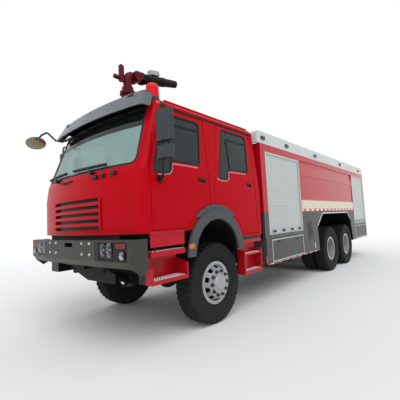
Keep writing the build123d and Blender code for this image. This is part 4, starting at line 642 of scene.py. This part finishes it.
paired_bars("drip_rail", [((2.385, 1.1420, 2.931), (4.470, 1.1600, 2.946))], 0.003, cab_red)
# Painted shadow: a black strip under each gutter, as tall as the shade that the gutter casts.
paired_bars("gutter_shadow", [((2.385, 1.1440, 2.894), (4.470, 1.1560, 2.922))], 0.001, seal_rubber,
            1)
paired_bars("roof_bead", [((2.374, 1.050, 3.004), (4.350, 1.090, 3.043))], 0.016, cab_red, 4)
for side, word in SIDES:
    for door, x_low, x_high, post_x in POSTS:
        sash_y = side * (cab_side(SASH_Z) - GLASS_SINK)
        start = np.array([post_x, side * (cab_side(POST_FOOT_Z) - GLASS_SINK), POST_LOW_Z])
        end = np.array([post_x + POST_LEAN, sash_y, SASH_Z + POST_LAP])
        along = start + (end - start) * np.linspace(0, 1, 9)[:, None]
        section = np.array([[-POST_HALF, -POST_BACK * side, 0], [-POST_HALF, POST_FACE * side, 0],
                            [POST_HALF, POST_FACE * side, 0], [POST_HALF, -POST_BACK * side, 0]])
        post = surface(f"{door}_divider_{word}", along[:, None, :] + section, wrap_columns=True,
                       flip=side > 0, smooth=False)
        fit(post, seal_rubber, f"{door}_{word}")
        bars(f"{door}_sash_{word}", [((x_low, sash_y - 0.003, SASH_Z - SASH_HALF),
                                      (x_high, sash_y + GLASS_SINK * side, SASH_Z + SASH_HALF))],
             0.002, seal_rubber, body=f"{door}_{word}")


# Door handles.
# Moulded black pull handles in recessed cups, screwed to the door skins, with a blank lock cap under each.
LOCK_PROFILE = ((0, 0.0), (0, 0.014), (0.003, 0.014), (0.005, 0.011), (0.005, 0.0))
LOCK_SHIFT, LOCK_Y, LOCK_Z = 0.02, 1.2375, 1.915
handle_black = coating("handle_black", (0.015, 0.015, 0.016), 0.4, vary=0.15, grain=0.3, grain_scale=300)
for door, x in (("front_door", 3.848), ("rear_door", 2.635)):
    paired_bars(f"{door}_handle", [((x - 0.070, 1.203, 1.966), (x + 0.070, 1.210, 2.034)),
                                   ((x - 0.068, 1.222, 2.000), (x + 0.068, 1.2405, 2.026))],
                0.004, handle_black, 3, door)
    for side, word in SIDES:
        lock = copies(f"{door}_lock_{word}", turned_out(LOCK_PROFILE, 20, side),
                      [(x - LOCK_SHIFT, side * LOCK_Y, LOCK_Z)])
        fit(lock, handle_black, f"{door}_{word}")


# Grille.
# Pressed slats in the cab's red, bolted over an open core, which is painted near black as painted shade.
GRILLE_CORE_X = 5.024
grille_paint = coating("grille_paint", RED, 0.40, coat=0.05, vary=0.05, grain=0.05, grain_scale=60,
                       shine=0.12)
grille_tree, grille_bsdf, grille_place = opened(grille_paint)
grille_x, grille_y, _ = axes(grille_tree, grille_place)
# Painted shade: the core and the slats' sides next to it are painted near black.
core = math_node(grille_tree, "LESS_THAN", bowed_depth(grille_tree, grille_x, grille_y), GRILLE_CORE_X)
overpaint(grille_tree, grille_bsdf, core, (0.003, 0.003, 0.003))
dress(grille_paint, "grille")


# Bumper.
# A folded steel beam in olive grey enamel, held by four pairs of plated bolts, with black guides in its tow
# slot and a black sheet that paints the shade in the gap between it and the cab.
BOLT_PROFILE = ((0.0, 0.019), (0.003, 0.019), (0.0031, 0.0145), (0.012, 0.0145), (0.014, 0.012), (0.014, 0.0))
BOLT_X = 5.1195


def turned_ahead(profile, count):
    """Points of a profile of (along, radius) turned about the X axis, facing ahead."""
    return turned(profile, count)[..., [1, 0, 2]]


bumper_grey = coating("bumper_grey", (0.046, 0.048, 0.038), 0.45, coat=0.1, vary=0.10, grain=0.25,
                      grain_scale=120, dust=0.08, dust_height=1.6, shine=0.2)
dress(bumper_grey, "bumper")
bolt_zinc = coating("bolt_zinc", (0.62, 0.62, 0.60), 0.3, metal=0.9, vary=0.1, grain=0.1)
bolt_places = [(BOLT_X, side * y, z) for side, _ in SIDES for y in (0.347, 0.524) for z in (1.245, 1.116)]
fit(copies("bumper_bolts", turned_ahead(BOLT_PROFILE, 6), bolt_places, smooth=False), bolt_zinc, "truck")
bars("tow_slot_guides", [((4.990, side * 0.108, 1.180), (5.1045, side * 0.130, 1.266)) for side, _ in SIDES],
     0.0008, chassis_black, 1)
# Painted shade: a black sheet closes the gap between the bumper and the cab.
bars("bumper_gap_shade", [((4.930, -0.860, 1.250), (4.936, 0.860, 1.340))], 0.001, chassis_black, 1)


# Lamps.
# Black moulded housings in the bumper with chrome bowls behind clear covers, amber turn lamps, a red beacon
# on the roof, red rear lamps and dark marker lamps along the rail.
FRONT_LAMPS_X, REAR_LAMPS_X, BEACON_Z = 5.0, -5.0, 3.056
BULB_PROFILE = ((0, 0.0), (0.002, 0.014), (0.014, 0.013), (0.020, 0.006), (0.021, 0.0))
LAMP_Z, COVER_Z, COVER_HALF, COVER_BULGE, COVER_SINK = 1.176, 1.159, 0.09, 0.006, 0.0035
BUMPER_X, BUMPER_SWEEP, SWEEP_START, TURN_LAMP_Y = 5.120, 0.0778, 0.7, 1.09
lamp_body, lamp_tree, lamp_bsdf, lamp_place = shader("lamp_bodies")
lamp_x, _, lamp_z = axes(lamp_tree, lamp_place)
lamp_tone = mix_colour(lamp_tree, noise(lamp_tree, lamp_place, 20, 3), (0.030, 0.040, 0.055),
                       (0.055, 0.065, 0.080))
for socket, test, limit, colour in ((lamp_x, "GREATER_THAN", FRONT_LAMPS_X, (0.010, 0.010, 0.011)),
                                    (lamp_x, "LESS_THAN", REAR_LAMPS_X, (0.40, 0.010, 0.012)),
                                    (lamp_z, "GREATER_THAN", BEACON_Z, (0.74, 0.001, 0.016))):
    lamp_tone = mix_colour(lamp_tree, math_node(lamp_tree, test, socket, limit), lamp_tone, colour)
lamp_tree.links.new(lamp_tone, lamp_bsdf.inputs["Base Color"])
lamp_bsdf.inputs["Roughness"].default_value = 0.18
lamp_bsdf.inputs["Specular IOR Level"].default_value = 0.2
bumps(lamp_tree, lamp_bsdf, noise(lamp_tree, lamp_place, 70, 2), 0.1, 0.002)
dress(lamp_body, "lamps")
clear_cover = window_glass("clear_cover", (0.03, 0.036, 0.04), 0.42)
amber_cover = coating("amber_cover", (0.15, 0.018, 0.006), 0.3, coat=0.1, vary=0.25, vary_scale=40, grain=0.5,
                      grain_scale=110, grain_depth=0.003)
bowl_chrome = coating("bowl_chrome", (0.30, 0.31, 0.33), 0.15, metal=1.0, vary=0.8, vary_scale=45, grain=0.9,
                      grain_scale=60, grain_depth=0.012)
bright_chrome = coating("bright_chrome", (0.75, 0.76, 0.78), 0.12, metal=1.0, vary=0.05, grain=0.02)


def bowl(name, centre, width, height, depth):
    """A dished reflector facing ahead: its depth falls with the square of the distance from its middle."""
    r = np.linspace(0, 1, 9)
    dish = turned_ahead(stacked(depth * (r ** 2 - 1), r), 28) * (1, width / 2, height / 2)
    fit(surface(name, dish + centre, wrap_rows=True, flip=True), bowl_chrome, "truck")


for side, word in SIDES:
    for label, y in (("main", 0.775), ("dip", 0.905)):
        bowl(f"{label}_bowl_{word}", (5.1035, side * y, LAMP_Z), 0.118, 0.168, 0.026)
        bulb = copies(f"{label}_bulb_{word}", turned_ahead(BULB_PROFILE, 16), [(5.079, side * y, LAMP_Z)])
        fit(bulb, bright_chrome, "truck")
    bowl(f"fog_bowl_{word}", (5.094, side * 1.124, 1.118), 0.098, 0.098, 0.022)
    cover_y, cover_z = np.meshgrid(np.linspace(0.706, 0.966, 8), np.linspace(1.071, 1.247, 6), indexing="ij")
    cover_x = (BUMPER_X - COVER_SINK - BUMPER_SWEEP * np.maximum(0, cover_y - SWEEP_START)
               - COVER_BULGE * ((cover_z - COVER_Z) / COVER_HALF) ** 2)
    cover = surface(f"headlamp_cover_{word}", stacked(cover_x, side * cover_y, cover_z), flip=side < 0)
    fit(cover, clear_cover, "truck")
turn_x = BUMPER_X - BUMPER_SWEEP * (TURN_LAMP_Y - SWEEP_START)
paired_bars("turn_lamp", [((turn_x - 0.030, 0.992, 1.190), (turn_x + 0.002, 1.188, 1.250))], 0.008,
            amber_cover, 3)


# Wheel arch flares.
# Grey moulded plastic with a soft rounded edge, screwed to the arches, an amber lamp at the front of each.
flare_grey = coating("flare_grey", (0.070, 0.075, 0.080), 0.5, vary=0.10, grain=0.4, grain_scale=420,
                     dust=0.1, dust_height=1.4)
repaint(flare_grey, SHADOW, side=(0, 1.236))
dress(flare_grey, "fender_flares")
amber_bright = coating("amber_bright", (0.62, 0.17, 0.03), 0.3, coat=0.2, vary=0.2, vary_scale=40, grain=0.4,
                       grain_scale=110, grain_depth=0.002)
paired_bars("flare_lamp", [((4.105, 1.268, 1.106), (4.205, 1.284, 1.164))], 0.006, amber_bright,
            3)


# Entry steps.
# Folded red sheet with painted shade behind, and punched aluminium treads whose raised rings give the foot a
# grip.
STUD_PITCH, STUD_INSET_X, STUD_INSET_Y = 0.036, 0.020, 0.018
PLATE_GAP, PLATE_TOP, STUD_FOOT = 0.0002, 0.0035, 0.0030
STUD_PROFILE = ((0.0, 0.013), (0.005, 0.011), (0.006, 0.009), (0.004, 0.007), (0.001, 0.006))
TREADS = (("front_low", 4.245, 4.755, 1.075, 1.238, 0.801), ("front_top", 4.265, 4.775, 1.120, 1.241, 1.128),
          ("crew_low", 2.423, 2.882, 1.120, 1.238, 0.621), ("crew_middle", 2.423, 2.882, 1.120, 1.238, 0.888))
step_red = coating("step_red", (0.46, 0.001, 0.010), 0.34, coat=0.35, vary=0.06, grain=0.1, grain_scale=80,
                   dust=0.08, dust_height=1.5, shine=0.15)
# Painted shade: near black on the steps' inboard faces and front ends, on the right front step's face, and in
# strips for the gaps under the sills.
repaint(step_red, SHADOW, side=(0, 1.033), x=(4, 5))
repaint(step_red, SHADOW, side=(0, 1.108), x=(2, 3))
repaint(step_red, SHADOW, side=(0, 1.2365), x=(4, 5), z=(1.1285, 1.336))
repaint(step_red, SHADOW, side=(0, 1.13), x=(4.792, 5))
repaint(step_red, SHADOW, y=(-1.3, -1), x=(4.792, 5))
repaint(step_red, SHADOW, x=(2, 3), z=(1.114, 1.168))
dress(step_red, "cab_steps")
tread_plate = coating("tread_plate", (0.16, 0.15, 0.15), 0.5, metal=0.4, vary=0.3, vary_scale=20, dust=0.2)
tread_alloy = coating("tread_alloy", (0.72, 0.72, 0.70), 0.35, metal=0.7, vary=0.15, vary_scale=12, grain=0.4,
                      grain_scale=160, dust=0.3)
stud = turned_ahead(STUD_PROFILE, 10)[..., [1, 2, 0]]
for label, x_low, x_high, y_low, y_high, z in TREADS:
    count_x = int((x_high - x_low) / STUD_PITCH)
    count_y = max(2, int((y_high - y_low) / STUD_PITCH))
    stud_x = np.linspace(x_low + STUD_INSET_X, x_high - STUD_INSET_X, count_x)
    stud_y = np.linspace(y_low + STUD_INSET_Y, y_high - STUD_INSET_Y, count_y)
    for side, word in SIDES:
        studs = copies(f"step_studs_{label}_{word}", stud[::-1],
                       [(x, side * y, z + STUD_FOOT) for x in stud_x for y in stud_y])
        fit(studs, tread_alloy, "truck")
    paired_bars(f"step_plate_{label}", [((x_low, y_low, z + PLATE_GAP), (x_high, y_high, z + PLATE_TOP))],
                0.001, tread_plate, 1)


# Sun visor.
# One slate-grey moulding, held over the front screen by two rows of screws, with a marker lamp near each end.
SCREW_PROFILE = ((0, 0.009), (0.003, 0.009), (0.005, 0.006), (0.005, 0.0))
MARKER_Y, MARKER_Z, MARKER_SINK = 0.821, 3.078, 0.001
SCREW_YS, SCREW_ZS, SCREW_SINK = (-0.95, -0.5, 0.0, 0.5, 0.95), (2.93, 3.03), 0.0005
VISOR_LEVELS, VISOR_DEPTHS, VISOR_BOW_CIRCLE = (2.872, 3.105), (4.865, 4.730), 12.6
FACE_LEAN = np.array([[0.865, 0, -0.501], [0, 1, 0], [0.501, 0, 0.865]])


def visor_face(y, z):
    """How far ahead the visor's leaning, bowed face lies."""
    return np.interp(z, VISOR_LEVELS, VISOR_DEPTHS) - y ** 2 / VISOR_BOW_CIRCLE


visor_slate = coating("visor_slate", (0.100, 0.114, 0.130), 0.40, coat=0.2, vary=0.10, grain=0.35,
                      grain_scale=420, grain_depth=0.0005)
# Painted shade: the visor's underside and the ribs behind its face are painted near black.
repaint(visor_slate, (0.005, 0.005, 0.006), side=(0, 1.05), plane=(1, 0.0794, 0.579, 6.508))
dress(visor_slate, "sun_visor")
marker_black = coating("marker_black", (0.012, 0.012, 0.013), 0.2, coat=0.5, vary=0.2, grain=0.1)
u = np.linspace(0, math.pi / 2, 6)
lens = turned_ahead(stacked(np.sin(u), np.cos(u)), 24) * (0.020, 0.070, 0.026)
lens_places = [(visor_face(MARKER_Y, MARKER_Z) - MARKER_SINK, side * MARKER_Y, MARKER_Z) for side, _ in SIDES]
fit(copies("visor_markers", lens @ FACE_LEAN.T, lens_places), marker_black, "truck")
screw_places = [(visor_face(y, z) - SCREW_SINK, y, z) for y in SCREW_YS for z in SCREW_ZS]
fit(copies("visor_screws", turned_ahead(SCREW_PROFILE, 14) @ FACE_LEAN.T, screw_places), marker_black,
    "truck")


# Mirrors.
# Slate-grey moulded heads, clamped on black tube arms, with silvered glass that faces back along the truck.
# The right heads are turned in towards the cab. A round bronze-tinted glass looks down on the front corner.
PANE_CORNERS = ((-0.0450, -0.070), (-0.0405, -0.070), (-0.0405, 0.138), (-0.0450, 0.138))
PANE_HEIGHTS = ((2.386, 2.706), (2.185, 2.290))
ARM_HEIGHTS = ((1.8, 2.163), (2.312, 2.364), (2.728, 2.9))
ARMS = ((1, "left", (4.695, 1.390), 0.0), (-1, "right", (4.535, 1.345), 0.349))
DISH_CENTRE, DISH_RADIUS, DISH_RISE = (5.075, -1.106, 2.790), 0.134, 0.010


def silvered(name, scale, dark, light, metal, rough):
    """A reflecting glass with a faint cloud in its silver."""
    made, tree, bsdf, place = shader(name)
    tint(tree, bsdf, noise(tree, place, scale, 3), dark, light)
    bsdf.inputs["Metallic"].default_value = metal
    bsdf.inputs["Roughness"].default_value = rough
    return made


mirror_slate = coating("mirror_slate", (0.036, 0.042, 0.048), 0.36, grain=0.45, grain_scale=420)
for heights in ARM_HEIGHTS:
    repaint(mirror_slate, (0.008, 0.008, 0.008), z=heights)
dress(mirror_slate, "mirror_left", "mirror_right", "front_mirror")
mirror_glass = silvered("mirror_glass", 5, (0.68, 0.72, 0.74), (0.80, 0.84, 0.86), 1.0, 0.04)
for side, word, tube, turn in ARMS:
    across, deep = np.array([[math.cos(turn), math.sin(turn)], [-math.sin(turn), math.cos(turn)]])
    corners = [across * x + deep * y + tube for x, y in PANE_CORNERS]
    points = [(x, side * y, z) for heights in PANE_HEIGHTS for z in heights for x, y in corners]
    panes = solid_mesh(f"mirror_panes_{word}", points, np.concatenate([BOX_FACES, BOX_FACES + 8])[:, ::side])
    fit(panes, mirror_glass, f"front_door_{word}")
dish_normal = unit(np.array([0.175, 0.452, -0.875]))
dish_across = unit(np.cross(dish_normal, (0, 0, 1)))
r = np.linspace(0, 1, 9)
dish = turned_ahead(stacked(DISH_RISE * (1 - r ** 2), DISH_RADIUS * r), 40)
dish = dish @ np.array([dish_normal, dish_across, np.cross(dish_across, dish_normal)]) + DISH_CENTRE
bronze_glass = silvered("bronze_glass", 6, (0.20, 0.17, 0.12), (0.34, 0.30, 0.22), 0.8, 0.12)
fit(surface("front_mirror_pane", dish, wrap_rows=True, flip=True), bronze_glass, "truck")


# Pressed beads under the side windows.
# Half-round swages in the door skins, in a paler pink-red than the doors as a painted highlight.
BEAD_RADIUS, BEAD_SINK, BEAD_FLATTEN = 0.011, 0.001, 0.5
BEAD_PATHS = {
    "front": ((4.640, 2.022), (4.548, 2.024), (4.425, 2.044), (4.392, 2.090), (4.384, 2.172), (4.150, 2.172),
              (3.903, 2.168)),
    "rear": ((3.500, 2.046), (3.395, 2.028), (3.250, 2.028), (3.192, 2.070), (3.178, 2.176), (2.930, 2.178),
             (2.695, 2.178)),
}


def bead(name, path, side):
    """A half-round bead along a path of X and Z on the cab's side, whose corners are eased by a running mean.
    The radius turns from one edge over to the other, flattened to half its height."""
    path = np.array(path)
    steps = np.linspace(0, len(path) - 1, 8 * (len(path) - 1) + 1)
    path = stacked(*(np.interp(steps, np.arange(len(path)), column) for column in path.T))
    path = np.vstack([path[:1], (path[:-2] + path[1:-1] + path[2:]) / 3, path[-1:]])
    run = unit(np.gradient(path, axis=0))
    rows = []
    for turn in np.linspace(0, math.pi, 7):
        flat = path + stacked(-run[:, 1], run[:, 0]) * BEAD_RADIUS * math.cos(turn)
        rows.append(on_side(flat, BEAD_FLATTEN * BEAD_RADIUS * math.sin(turn) - BEAD_SINK, side))
    return surface(name, np.stack(rows, axis=1), flip=side > 0)


# Painted highlight: the beads' paler pink-red stands in for the sky caught on their tops.
bead_highlight = coating("bead_highlight", (0.62, 0.16, 0.20), 0.25, coat=0.5, vary=0.1, vary_scale=9, grain=0.03,
                   grain_scale=40)
for door, path in BEAD_PATHS.items():
    for side, word in SIDES:
        fit(bead(f"{door}_sill_bead_{word}", path, side), bead_highlight, f"{door}_door_{word}")


# Wipers.
# Black steel arms on capped spindles, each with a rubber blade that lies just off the front screen.
BLADES = ((-1.030, 2.196, -0.290, 2.199), (-0.070, 2.199, 0.655, 2.190))
BLADE_SECTION = ((0.022, -0.015), (0.052, -0.011), (0.052, 0.013), (0.022, 0.017))
CAPS = ((0.425, 0.520, 2.028, 2.074), (0.585, 0.650, 2.038, 2.082), (0.745, 0.850, 2.046, 2.090),
        (-0.400, -0.080, 2.058, 2.078))
CAP_HALF_DEPTH = 0.03
dress(handle_black, "wipers")
for number, (y_low, z_low, y_high, z_high) in enumerate(BLADES):
    y = np.linspace(y_low, y_high, 24)
    z = np.linspace(z_low, z_high, 24)
    rows = [stacked(cab_nose(y, z) + ahead_by, y, z + up_by) for ahead_by, up_by in BLADE_SECTION]
    blade = surface(f"wiper_blade_{number}", np.stack(rows, axis=1), wrap_columns=True, flip=True,
                    smooth=False)
    fit(blade, seal_rubber, "truck")
cap_spans = []
for y_low, y_high, z_low, z_high in CAPS:
    x = cab_nose((y_low + y_high) / 2, z_low)
    cap_spans.append(((x - CAP_HALF_DEPTH, y_low, z_low), (x + CAP_HALF_DEPTH, y_high, z_high)))
bars("wiper_caps", cap_spans, 0.008, handle_black, 3)


# Seats and dashboard.
# Foam pads in grey woven cloth, sewn in channels and set on plastic stands, and a grained plastic dashboard.
SEAT_Y, BASE_Z, BACK_Z, HEAD_Z = 0.720, 1.725, 2.075, 2.545
BACK_TILT, HEAD_TILT = math.radians(-84.5), math.radians(-86)
PAD_EDGE, PAD_CORNER, PAD_TOP = 0.35, 0.30, 0.55
PAD_CROWN, PAD_FULLNESS, SEAM_DEPTH, SEAM_WIDTH = 0.10, 0.93, 0.07, 0.09
dash_plastic = coating("dash_plastic", (0.055, 0.058, 0.062), 0.6, grain=0.6, grain_scale=380)
dress(dash_plastic, "dashboard")
seat_cloth, cloth_tree, cloth_bsdf, cloth_place = shader("seat_cloth")
weaves = []
for direction in ("X", "Y"):
    weave = cloth_tree.nodes.new("ShaderNodeTexWave")
    weave.bands_direction = direction
    weave.inputs["Scale"].default_value = 60
    cloth_tree.links.new(cloth_place, weave.inputs["Vector"])
    weaves.append(weave.outputs["Fac"])
threads = math_node(cloth_tree, "MULTIPLY", *weaves)
tint(cloth_tree, cloth_bsdf, threads, (0.36, 0.42, 0.41), (0.60, 0.68, 0.66))
cloth_bsdf.inputs["Roughness"].default_value = 0.9
cloth_bsdf.inputs["Sheen Weight"].default_value = 0.3
bumps(cloth_tree, cloth_bsdf, threads, 0.4, 0.001)


def power(value, exponent):
    """A value's size raised to a power, with its sign kept."""
    return np.sign(value) * np.abs(value) ** exponent


def cushion(name, centre, size, tilt, channels):
    """A crowned pad: a box rounded as a super-ellipsoid is, with sewn channels across its top. tilt turns it
    about the Y axis."""
    lat, lon = np.meshgrid(np.linspace(-math.pi / 2, math.pi / 2, 29),
                           np.linspace(0, 2 * math.pi, 64, endpoint=False), indexing="ij")
    x = power(np.cos(lat), PAD_EDGE) * power(np.cos(lon), PAD_CORNER)
    y = power(np.cos(lat), PAD_EDGE) * power(np.sin(lon), PAD_CORNER)
    crown = 1 + PAD_CROWN * (1 - x ** 2) * (1 - y ** 2)
    seams = SEAM_DEPTH * np.exp(-((np.abs(y * channels) % 1 - 0.5) / SEAM_WIDTH) ** 2)
    z = (power(np.sin(lat), PAD_TOP) * crown - seams) * PAD_FULLNESS
    turn = np.array([[math.cos(tilt), 0, math.sin(tilt)], [0, 1, 0], [-math.sin(tilt), 0, math.cos(tilt)]])
    local = stacked(x, y, z) * np.array(size) / 2
    piece = surface(name, local @ turn.T + np.array(centre), wrap_columns=True)
    fit(piece, seat_cloth, "truck")
    return piece


for side, word in SIDES:
    base = cushion(f"seat_base_{word}", (4.105, side * SEAT_Y, BASE_Z), (0.47, 0.51, 0.145), 0, 3)
    if word == "left":
        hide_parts("seats")
    cushion(f"seat_back_{word}", (3.870, side * SEAT_Y, BACK_Z), (0.75, 0.50, 0.115), BACK_TILT, 3)
    cushion(f"seat_head_{word}", (3.838, side * SEAT_Y, HEAD_Z), (0.19, 0.27, 0.085), HEAD_TILT, 1)
cushion("bench_base", (2.690, 0, BASE_Z), (0.45, 1.88, 0.145), 0, 7)
cushion("bench_back", (2.470, 0, BACK_Z), (0.75, 1.86, 0.115), BACK_TILT, 7)
paired_bars("seat_stand", [((3.915, 0.500, 1.395), (4.275, 0.685, 1.655))], 0.015, dash_plastic)
bars("bench_stand", [((2.460, -0.92, 1.395), (2.850, 0.92, 1.655))], 0.015, dash_plastic)


# Roof monitor.
# A red cast riser and elbow, bolted to the roof, and a black tapered barrel with a pale clamp and red pivot.
MONITOR_RED = (0.105, 0.002, 0.008)
monitor_red = coating("monitor_red", MONITOR_RED, 0.38, coat=0.12, shine=0.12, vary=0.2, grain=0.4,
                      grain_scale=90, grain_depth=0.0015)
dress(monitor_red, "monitor_base", "monitor_swivel")
monitor_black = coating("monitor_black", (0.006, 0.006, 0.007), 0.42, coat=0.03, shine=0.12, vary=0.2,
                        grain=0.35, grain_scale=130, grain_depth=0.001)
repaint(monitor_black, (0.42, 0.42, 0.42), x=(3.41, 3.71), plane=(-0.1908, 0, -0.9816, -4.6178))
repaint(monitor_black, MONITOR_RED, x=(3.858, 4.08), z=(3.72, 3.96))
dress(monitor_black, "monitor_barrel")


# Body shell, rail, shutters and fittings.
# Red gloss panels under a light grey folded rail, with a dark grey lower edge, slatted aluminium roller
# shutters in their frames, and bare aluminium steps, ladder and hatches.
body_red = coating("body_red", (0.46, 0.001, 0.012), 0.28, coat=0.5, vary=0.05, vary_scale=0.8, grain=0.02,
                   grain_scale=25, grain_depth=0.0003, shine=0.15)
repaint(body_red, (0.062, 0.063, 0.057), z=(0, 1.535))
repaint(body_red, SHADOW, side=(0, 1.2), z=(0, 1.535))
dress(body_red, "body_shell")
rail_grey = coating("rail_grey", (0.58, 0.61, 0.60), 0.4, coat=0.2, vary=0.05, grain=0.1, grain_scale=120)
dress(rail_grey, "body_rail")
shutter_alloy = coating("shutter_alloy", (0.50, 0.54, 0.53), 0.34, metal=0.55, vary=0.06, vary_scale=3,
                        grain=0.15, grain_scale=60, stretch=(0.1, 1, 1))
dress(shutter_alloy, "shutters")
fitting_alloy = coating("fitting_alloy", (0.52, 0.53, 0.53), 0.4, metal=0.7, vary=0.1, grain=0.2,
                        grain_scale=140)
dress(fitting_alloy, "body_fittings")
latch_black = coating("latch_black", (0.012, 0.012, 0.013), 0.35, vary=0.2, grain=0.3)
SHUTTER_BAYS, LATCHES_EACH, LATCH_HALF = ((0.565, 2.065), (-4.995, -3.585)), 4, 0.050
latches = []
for x_low, x_high in SHUTTER_BAYS:
    for number in range(LATCHES_EACH):
        x = x_low + (x_high - x_low) * (number + 0.5) / LATCHES_EACH
        latches.append(((x - LATCH_HALF, 1.2585, 1.168), (x + LATCH_HALF, 1.270, 1.212)))
paired_bars("shutter_latches", latches, 0.004, latch_black)


# Lower body and locker flaps.
# Folded steel lockers in dark grey enamel, with painted shade in near black on the skirts' inboard faces over
# the rear wheels. Each flap is edged with an aluminium trim and held shut by two black latches.
FLAP_LOW, FLAP_HIGH, TRIM_WIDTH = 0.645, 1.043, 0.018
TRIM_FOOT, TRIM_TOP = FLAP_LOW + TRIM_WIDTH, FLAP_HIGH - TRIM_WIDTH
TRIM_Y = (1.2495, 1.2520)
FLAP_LATCH_INSET, FLAP_LATCH_HALF = 0.30, 0.045
locker_grey = coating("locker_grey", (0.066, 0.067, 0.060), 0.42, coat=0.1, vary=0.10, grain=0.2,
                      grain_scale=150, dust=0.10, dust_height=1.4)
# Painted shade: near black on the skirts' inboard faces over the rear wheels.
repaint(locker_grey, (0.005, 0.005, 0.005), side=(0, 1.246), x=(-3.5, -0.2))
dress(locker_grey, "body_skirts", "front_flap_left", "front_flap_right", "rear_flap_left", "rear_flap_right")
trim_alloy = coating("trim_alloy", (0.60, 0.61, 0.61), 0.3, metal=0.8, vary=0.08, grain=0.15, grain_scale=90)
for flap, x_low, x_high in (("front", 0.585, 1.995), ("rear", -4.975, -3.590)):
    strips = ((x_low, x_high, TRIM_TOP, FLAP_HIGH), (x_low, x_high, FLAP_LOW, TRIM_FOOT),
              (x_low, x_low + TRIM_WIDTH, TRIM_FOOT, TRIM_TOP),
              (x_high - TRIM_WIDTH, x_high, TRIM_FOOT, TRIM_TOP))
    paired_bars(f"{flap}_flap_trim", [((left, TRIM_Y[0], low), (right, TRIM_Y[1], high))
                                      for left, right, low, high in strips],
                0.0008, trim_alloy, 1, f"locker_flap_{flap}")
    latches = [((x - FLAP_LATCH_HALF, 1.2440, 0.975), (x + FLAP_LATCH_HALF, 1.2560, 1.005))
               for x in (x_low + FLAP_LATCH_INSET, x_high - FLAP_LATCH_INSET)]
    paired_bars(f"{flap}_flap_latch", latches, 0.004, latch_black, 2,
                f"locker_flap_{flap}")


# Rear arch mouldings, side vents and rail joints.
# A pale aluminium moulding follows the rear arch's edge, a black louvred vent sits ahead of it, and thin
# sealed joints part the rail's lengths.
BODY_SIDE_Y = 1.250
MOULDING_WIDTH, MOULDING_BACK, MOULDING_FACE = 0.030, 0.0002, 0.0042
ARCH_PATH = np.array([(-0.315, 1.172), (-0.704, 1.468), (-2.823, 1.468), (-3.110, 1.250)])


def arch_strip(name, path, width, side):
    """A flat moulding along a path of X and Z, its outer edge set off by width along the runs' bisectors."""
    run = unit(np.diff(path, axis=0))
    across = stacked(run[:, 1], -run[:, 0])
    bisector = np.vstack([across[:1], (across[:-1] + across[1:]) / 2, across[-1:]])
    bisector /= np.sum(bisector ** 2, axis=1)[:, None]
    outer = path + bisector * width
    rows = [stacked(edge[:, 0], side * (BODY_SIDE_Y + off), edge[:, 1])
            for edge, off in ((path, MOULDING_BACK), (path, MOULDING_FACE), (outer, MOULDING_FACE),
                              (outer, MOULDING_BACK))]
    return surface(name, np.stack(rows, axis=1), wrap_columns=True, flip=side < 0, smooth=False)


for side, word in SIDES:
    fit(arch_strip(f"arch_moulding_{word}", ARCH_PATH, MOULDING_WIDTH, side), rail_grey, "truck")
louvres = [((0.030, 1.2515, z), (0.276, 1.2590, z + 0.016)) for z in np.arange(0.925, 1.28, 0.036)]
paired_bars("side_vent", [((0.015, BODY_SIDE_Y, 0.900), (0.291, 1.2520, 1.315))] + louvres, 0.002,
            latch_black, 1)
paired_bars("rail_joints", [((x, 1.2498, 2.794), (x + 0.005, 1.2506, 2.960)) for x in (0.502, -3.35)], 0.0003,
            latch_black, 1)


# Reflective tape and the pale waist band.
# Thin printed film: red and white blocks along the sides' lower edges, and a cream band along the waist.
TAPE_Y = 1.2512
BLOCK_PAIR = 0.30
TAPE_RUNS = ((-0.30, 2.19, 0.6185, 0.633), (-5.04, -3.30, 0.6185, 0.633), (2.205, 2.239, 0.655, 0.780),
             (-0.095, -0.061, 0.690, 0.815), (-3.550, 0.530, 1.548, 1.592))
tape_print, tape_tree, tape_bsdf, tape_place = shader("tape_print")
blocks = math_node(tape_tree, "DIVIDE", axes(tape_tree, tape_place)[0], BLOCK_PAIR)
first_half = math_node(tape_tree, "LESS_THAN", math_node(tape_tree, "FRACT", blocks), 0.5)
tint(tape_tree, tape_bsdf, first_half, (0.78, 0.76, 0.68), (0.60, 0.012, 0.010))
honeycomb = tape_tree.nodes.new("ShaderNodeTexVoronoi")
honeycomb.inputs["Scale"].default_value = 130
tape_tree.links.new(tape_place, honeycomb.inputs["Vector"])
bumps(tape_tree, tape_bsdf, honeycomb.outputs["Distance"], 0.3, 0.0008)
tape_bsdf.inputs["Roughness"].default_value = 0.3
cream_film = coating("cream_film", (0.70, 0.62, 0.48), 0.35, coat=0.3, vary=0.06, grain=0.05)
paired_bars("side_tape", [((x_low, BODY_SIDE_Y, z_low), (x_high, TAPE_Y, z_high))
                          for x_low, x_high, z_low, z_high in TAPE_RUNS], 0.0004, tape_print, 1)
paired_bars("waist_band", [((-3.550, BODY_SIDE_Y, 1.598), (0.530, TAPE_Y, 1.786))], 0.0004, cream_film,
            1)
